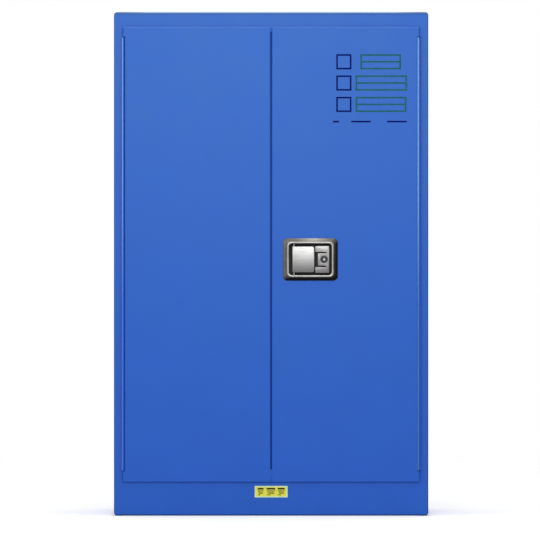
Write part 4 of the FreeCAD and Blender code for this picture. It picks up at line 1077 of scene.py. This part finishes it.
def make_floor():
    """Pale floor that glows towards white for the camera, except close under the cabinet, where
    ambient occlusion cuts the glow into a painted shadow.
    """
    size, level, glow, contact = 9.0, -0.0002, 0.35, 0.02
    clear_choice()
    bpy.ops.mesh.primitive_plane_add(size=size, location=(0, 0, level))
    floor = settle("studio_floor")
    material, tree, shader, place = start_material("pale_floor", (0.86, 0.86, 0.86), 0.8, 0.0, 0.2)
    skin = coat_on(tree, place, 60.0, 1.2)
    tree.links.new(tint(tree, skin["Mottle"], (0.85, 0.85, 0.85), (0.87, 0.87, 0.87)),
                   shader.inputs["Base Color"])
    seen = add(tree, "LightPath").outputs["Is Camera Ray"]
    # painted shadow: ambient occlusion cuts the floor's glow next to and under the cabinet
    under = add(tree, "AmbientOcclusion", {"Distance": contact}).outputs["AO"]
    shader.inputs["Emission Color"].default_value = (*WHITE, 1.0)
    tree.links.new(times(tree, times(tree, seen, under), glow), shader.inputs["Emission Strength"])
    paint(floor, material)


def make_world(level):
    """White to the camera and to reflections, a plain level of light for the surfaces."""
    world = bpy.data.worlds.new("studio_white")
    bpy.context.scene.world = world
    world.use_nodes = True
    tree = world.node_tree
    ray = add(tree, "LightPath").outputs
    shown = reckon(tree, "MAXIMUM", ray["Is Camera Ray"],
                   reckon(tree, "MAXIMUM", ray["Is Glossy Ray"], ray["Is Transmission Ray"]))
    background = tree.nodes["Background"]
    background.inputs["Color"].default_value = (*WHITE, 1.0)
    tree.links.new(spread(tree, shown, 0.0, 1.0, level, 1.0), background.inputs["Strength"])


def make_softbox(name, place, aim, width, height, power):
    clear_choice()
    bpy.ops.object.light_add(type="AREA", location=place)
    lamp = bpy.context.object
    lamp.name = name
    lamp.visible_camera = False
    lamp.data.shape, lamp.data.size, lamp.data.size_y = "RECTANGLE", width, height
    lamp.data.energy = power
    lamp.rotation_euler = (Vector(aim) - Vector(place)).to_track_quat("-Z", "Y").to_euler()


def make_camera():
    """Long lens square to the front; span is the width it sees at the doors' face."""
    front, centre_x, centre_z = -0.221, -0.0037, 0.805
    span, lens, sensor = 1.7675, 300.0, 36.0
    clear_choice()
    bpy.ops.object.camera_add(location=(centre_x, front - span * lens / sensor, centre_z),
                              rotation=(math.pi / 2, 0, 0))
    camera = bpy.context.object
    camera.data.lens, camera.data.sensor_width = lens, sensor
    camera.data.clip_end = 100.0
    bpy.context.scene.camera = camera


make_floor()
make_world(0.70)
make_softbox("key_softbox", (-0.05, -4.6, 2.1), (0.0, -0.2, 1.3), 2.2, 1.3, 58.0)
make_softbox("top_softbox", (0.0, -0.15, 3.2), (0.0, -0.15, 1.2), 1.6, 0.9, 12.0)
make_softbox("edge_striplight", (0.0, -1.7, 3.3), (0.0, -0.2, 1.6), 2.2, 0.12, 4.0)
make_softbox("side_striplight", (-3.4, -3.0, 1.9), (0.0, -0.2, 1.0), 0.35, 1.8, 9.0)
make_camera()
bpy.context.scene.view_settings.view_transform = "Standard"
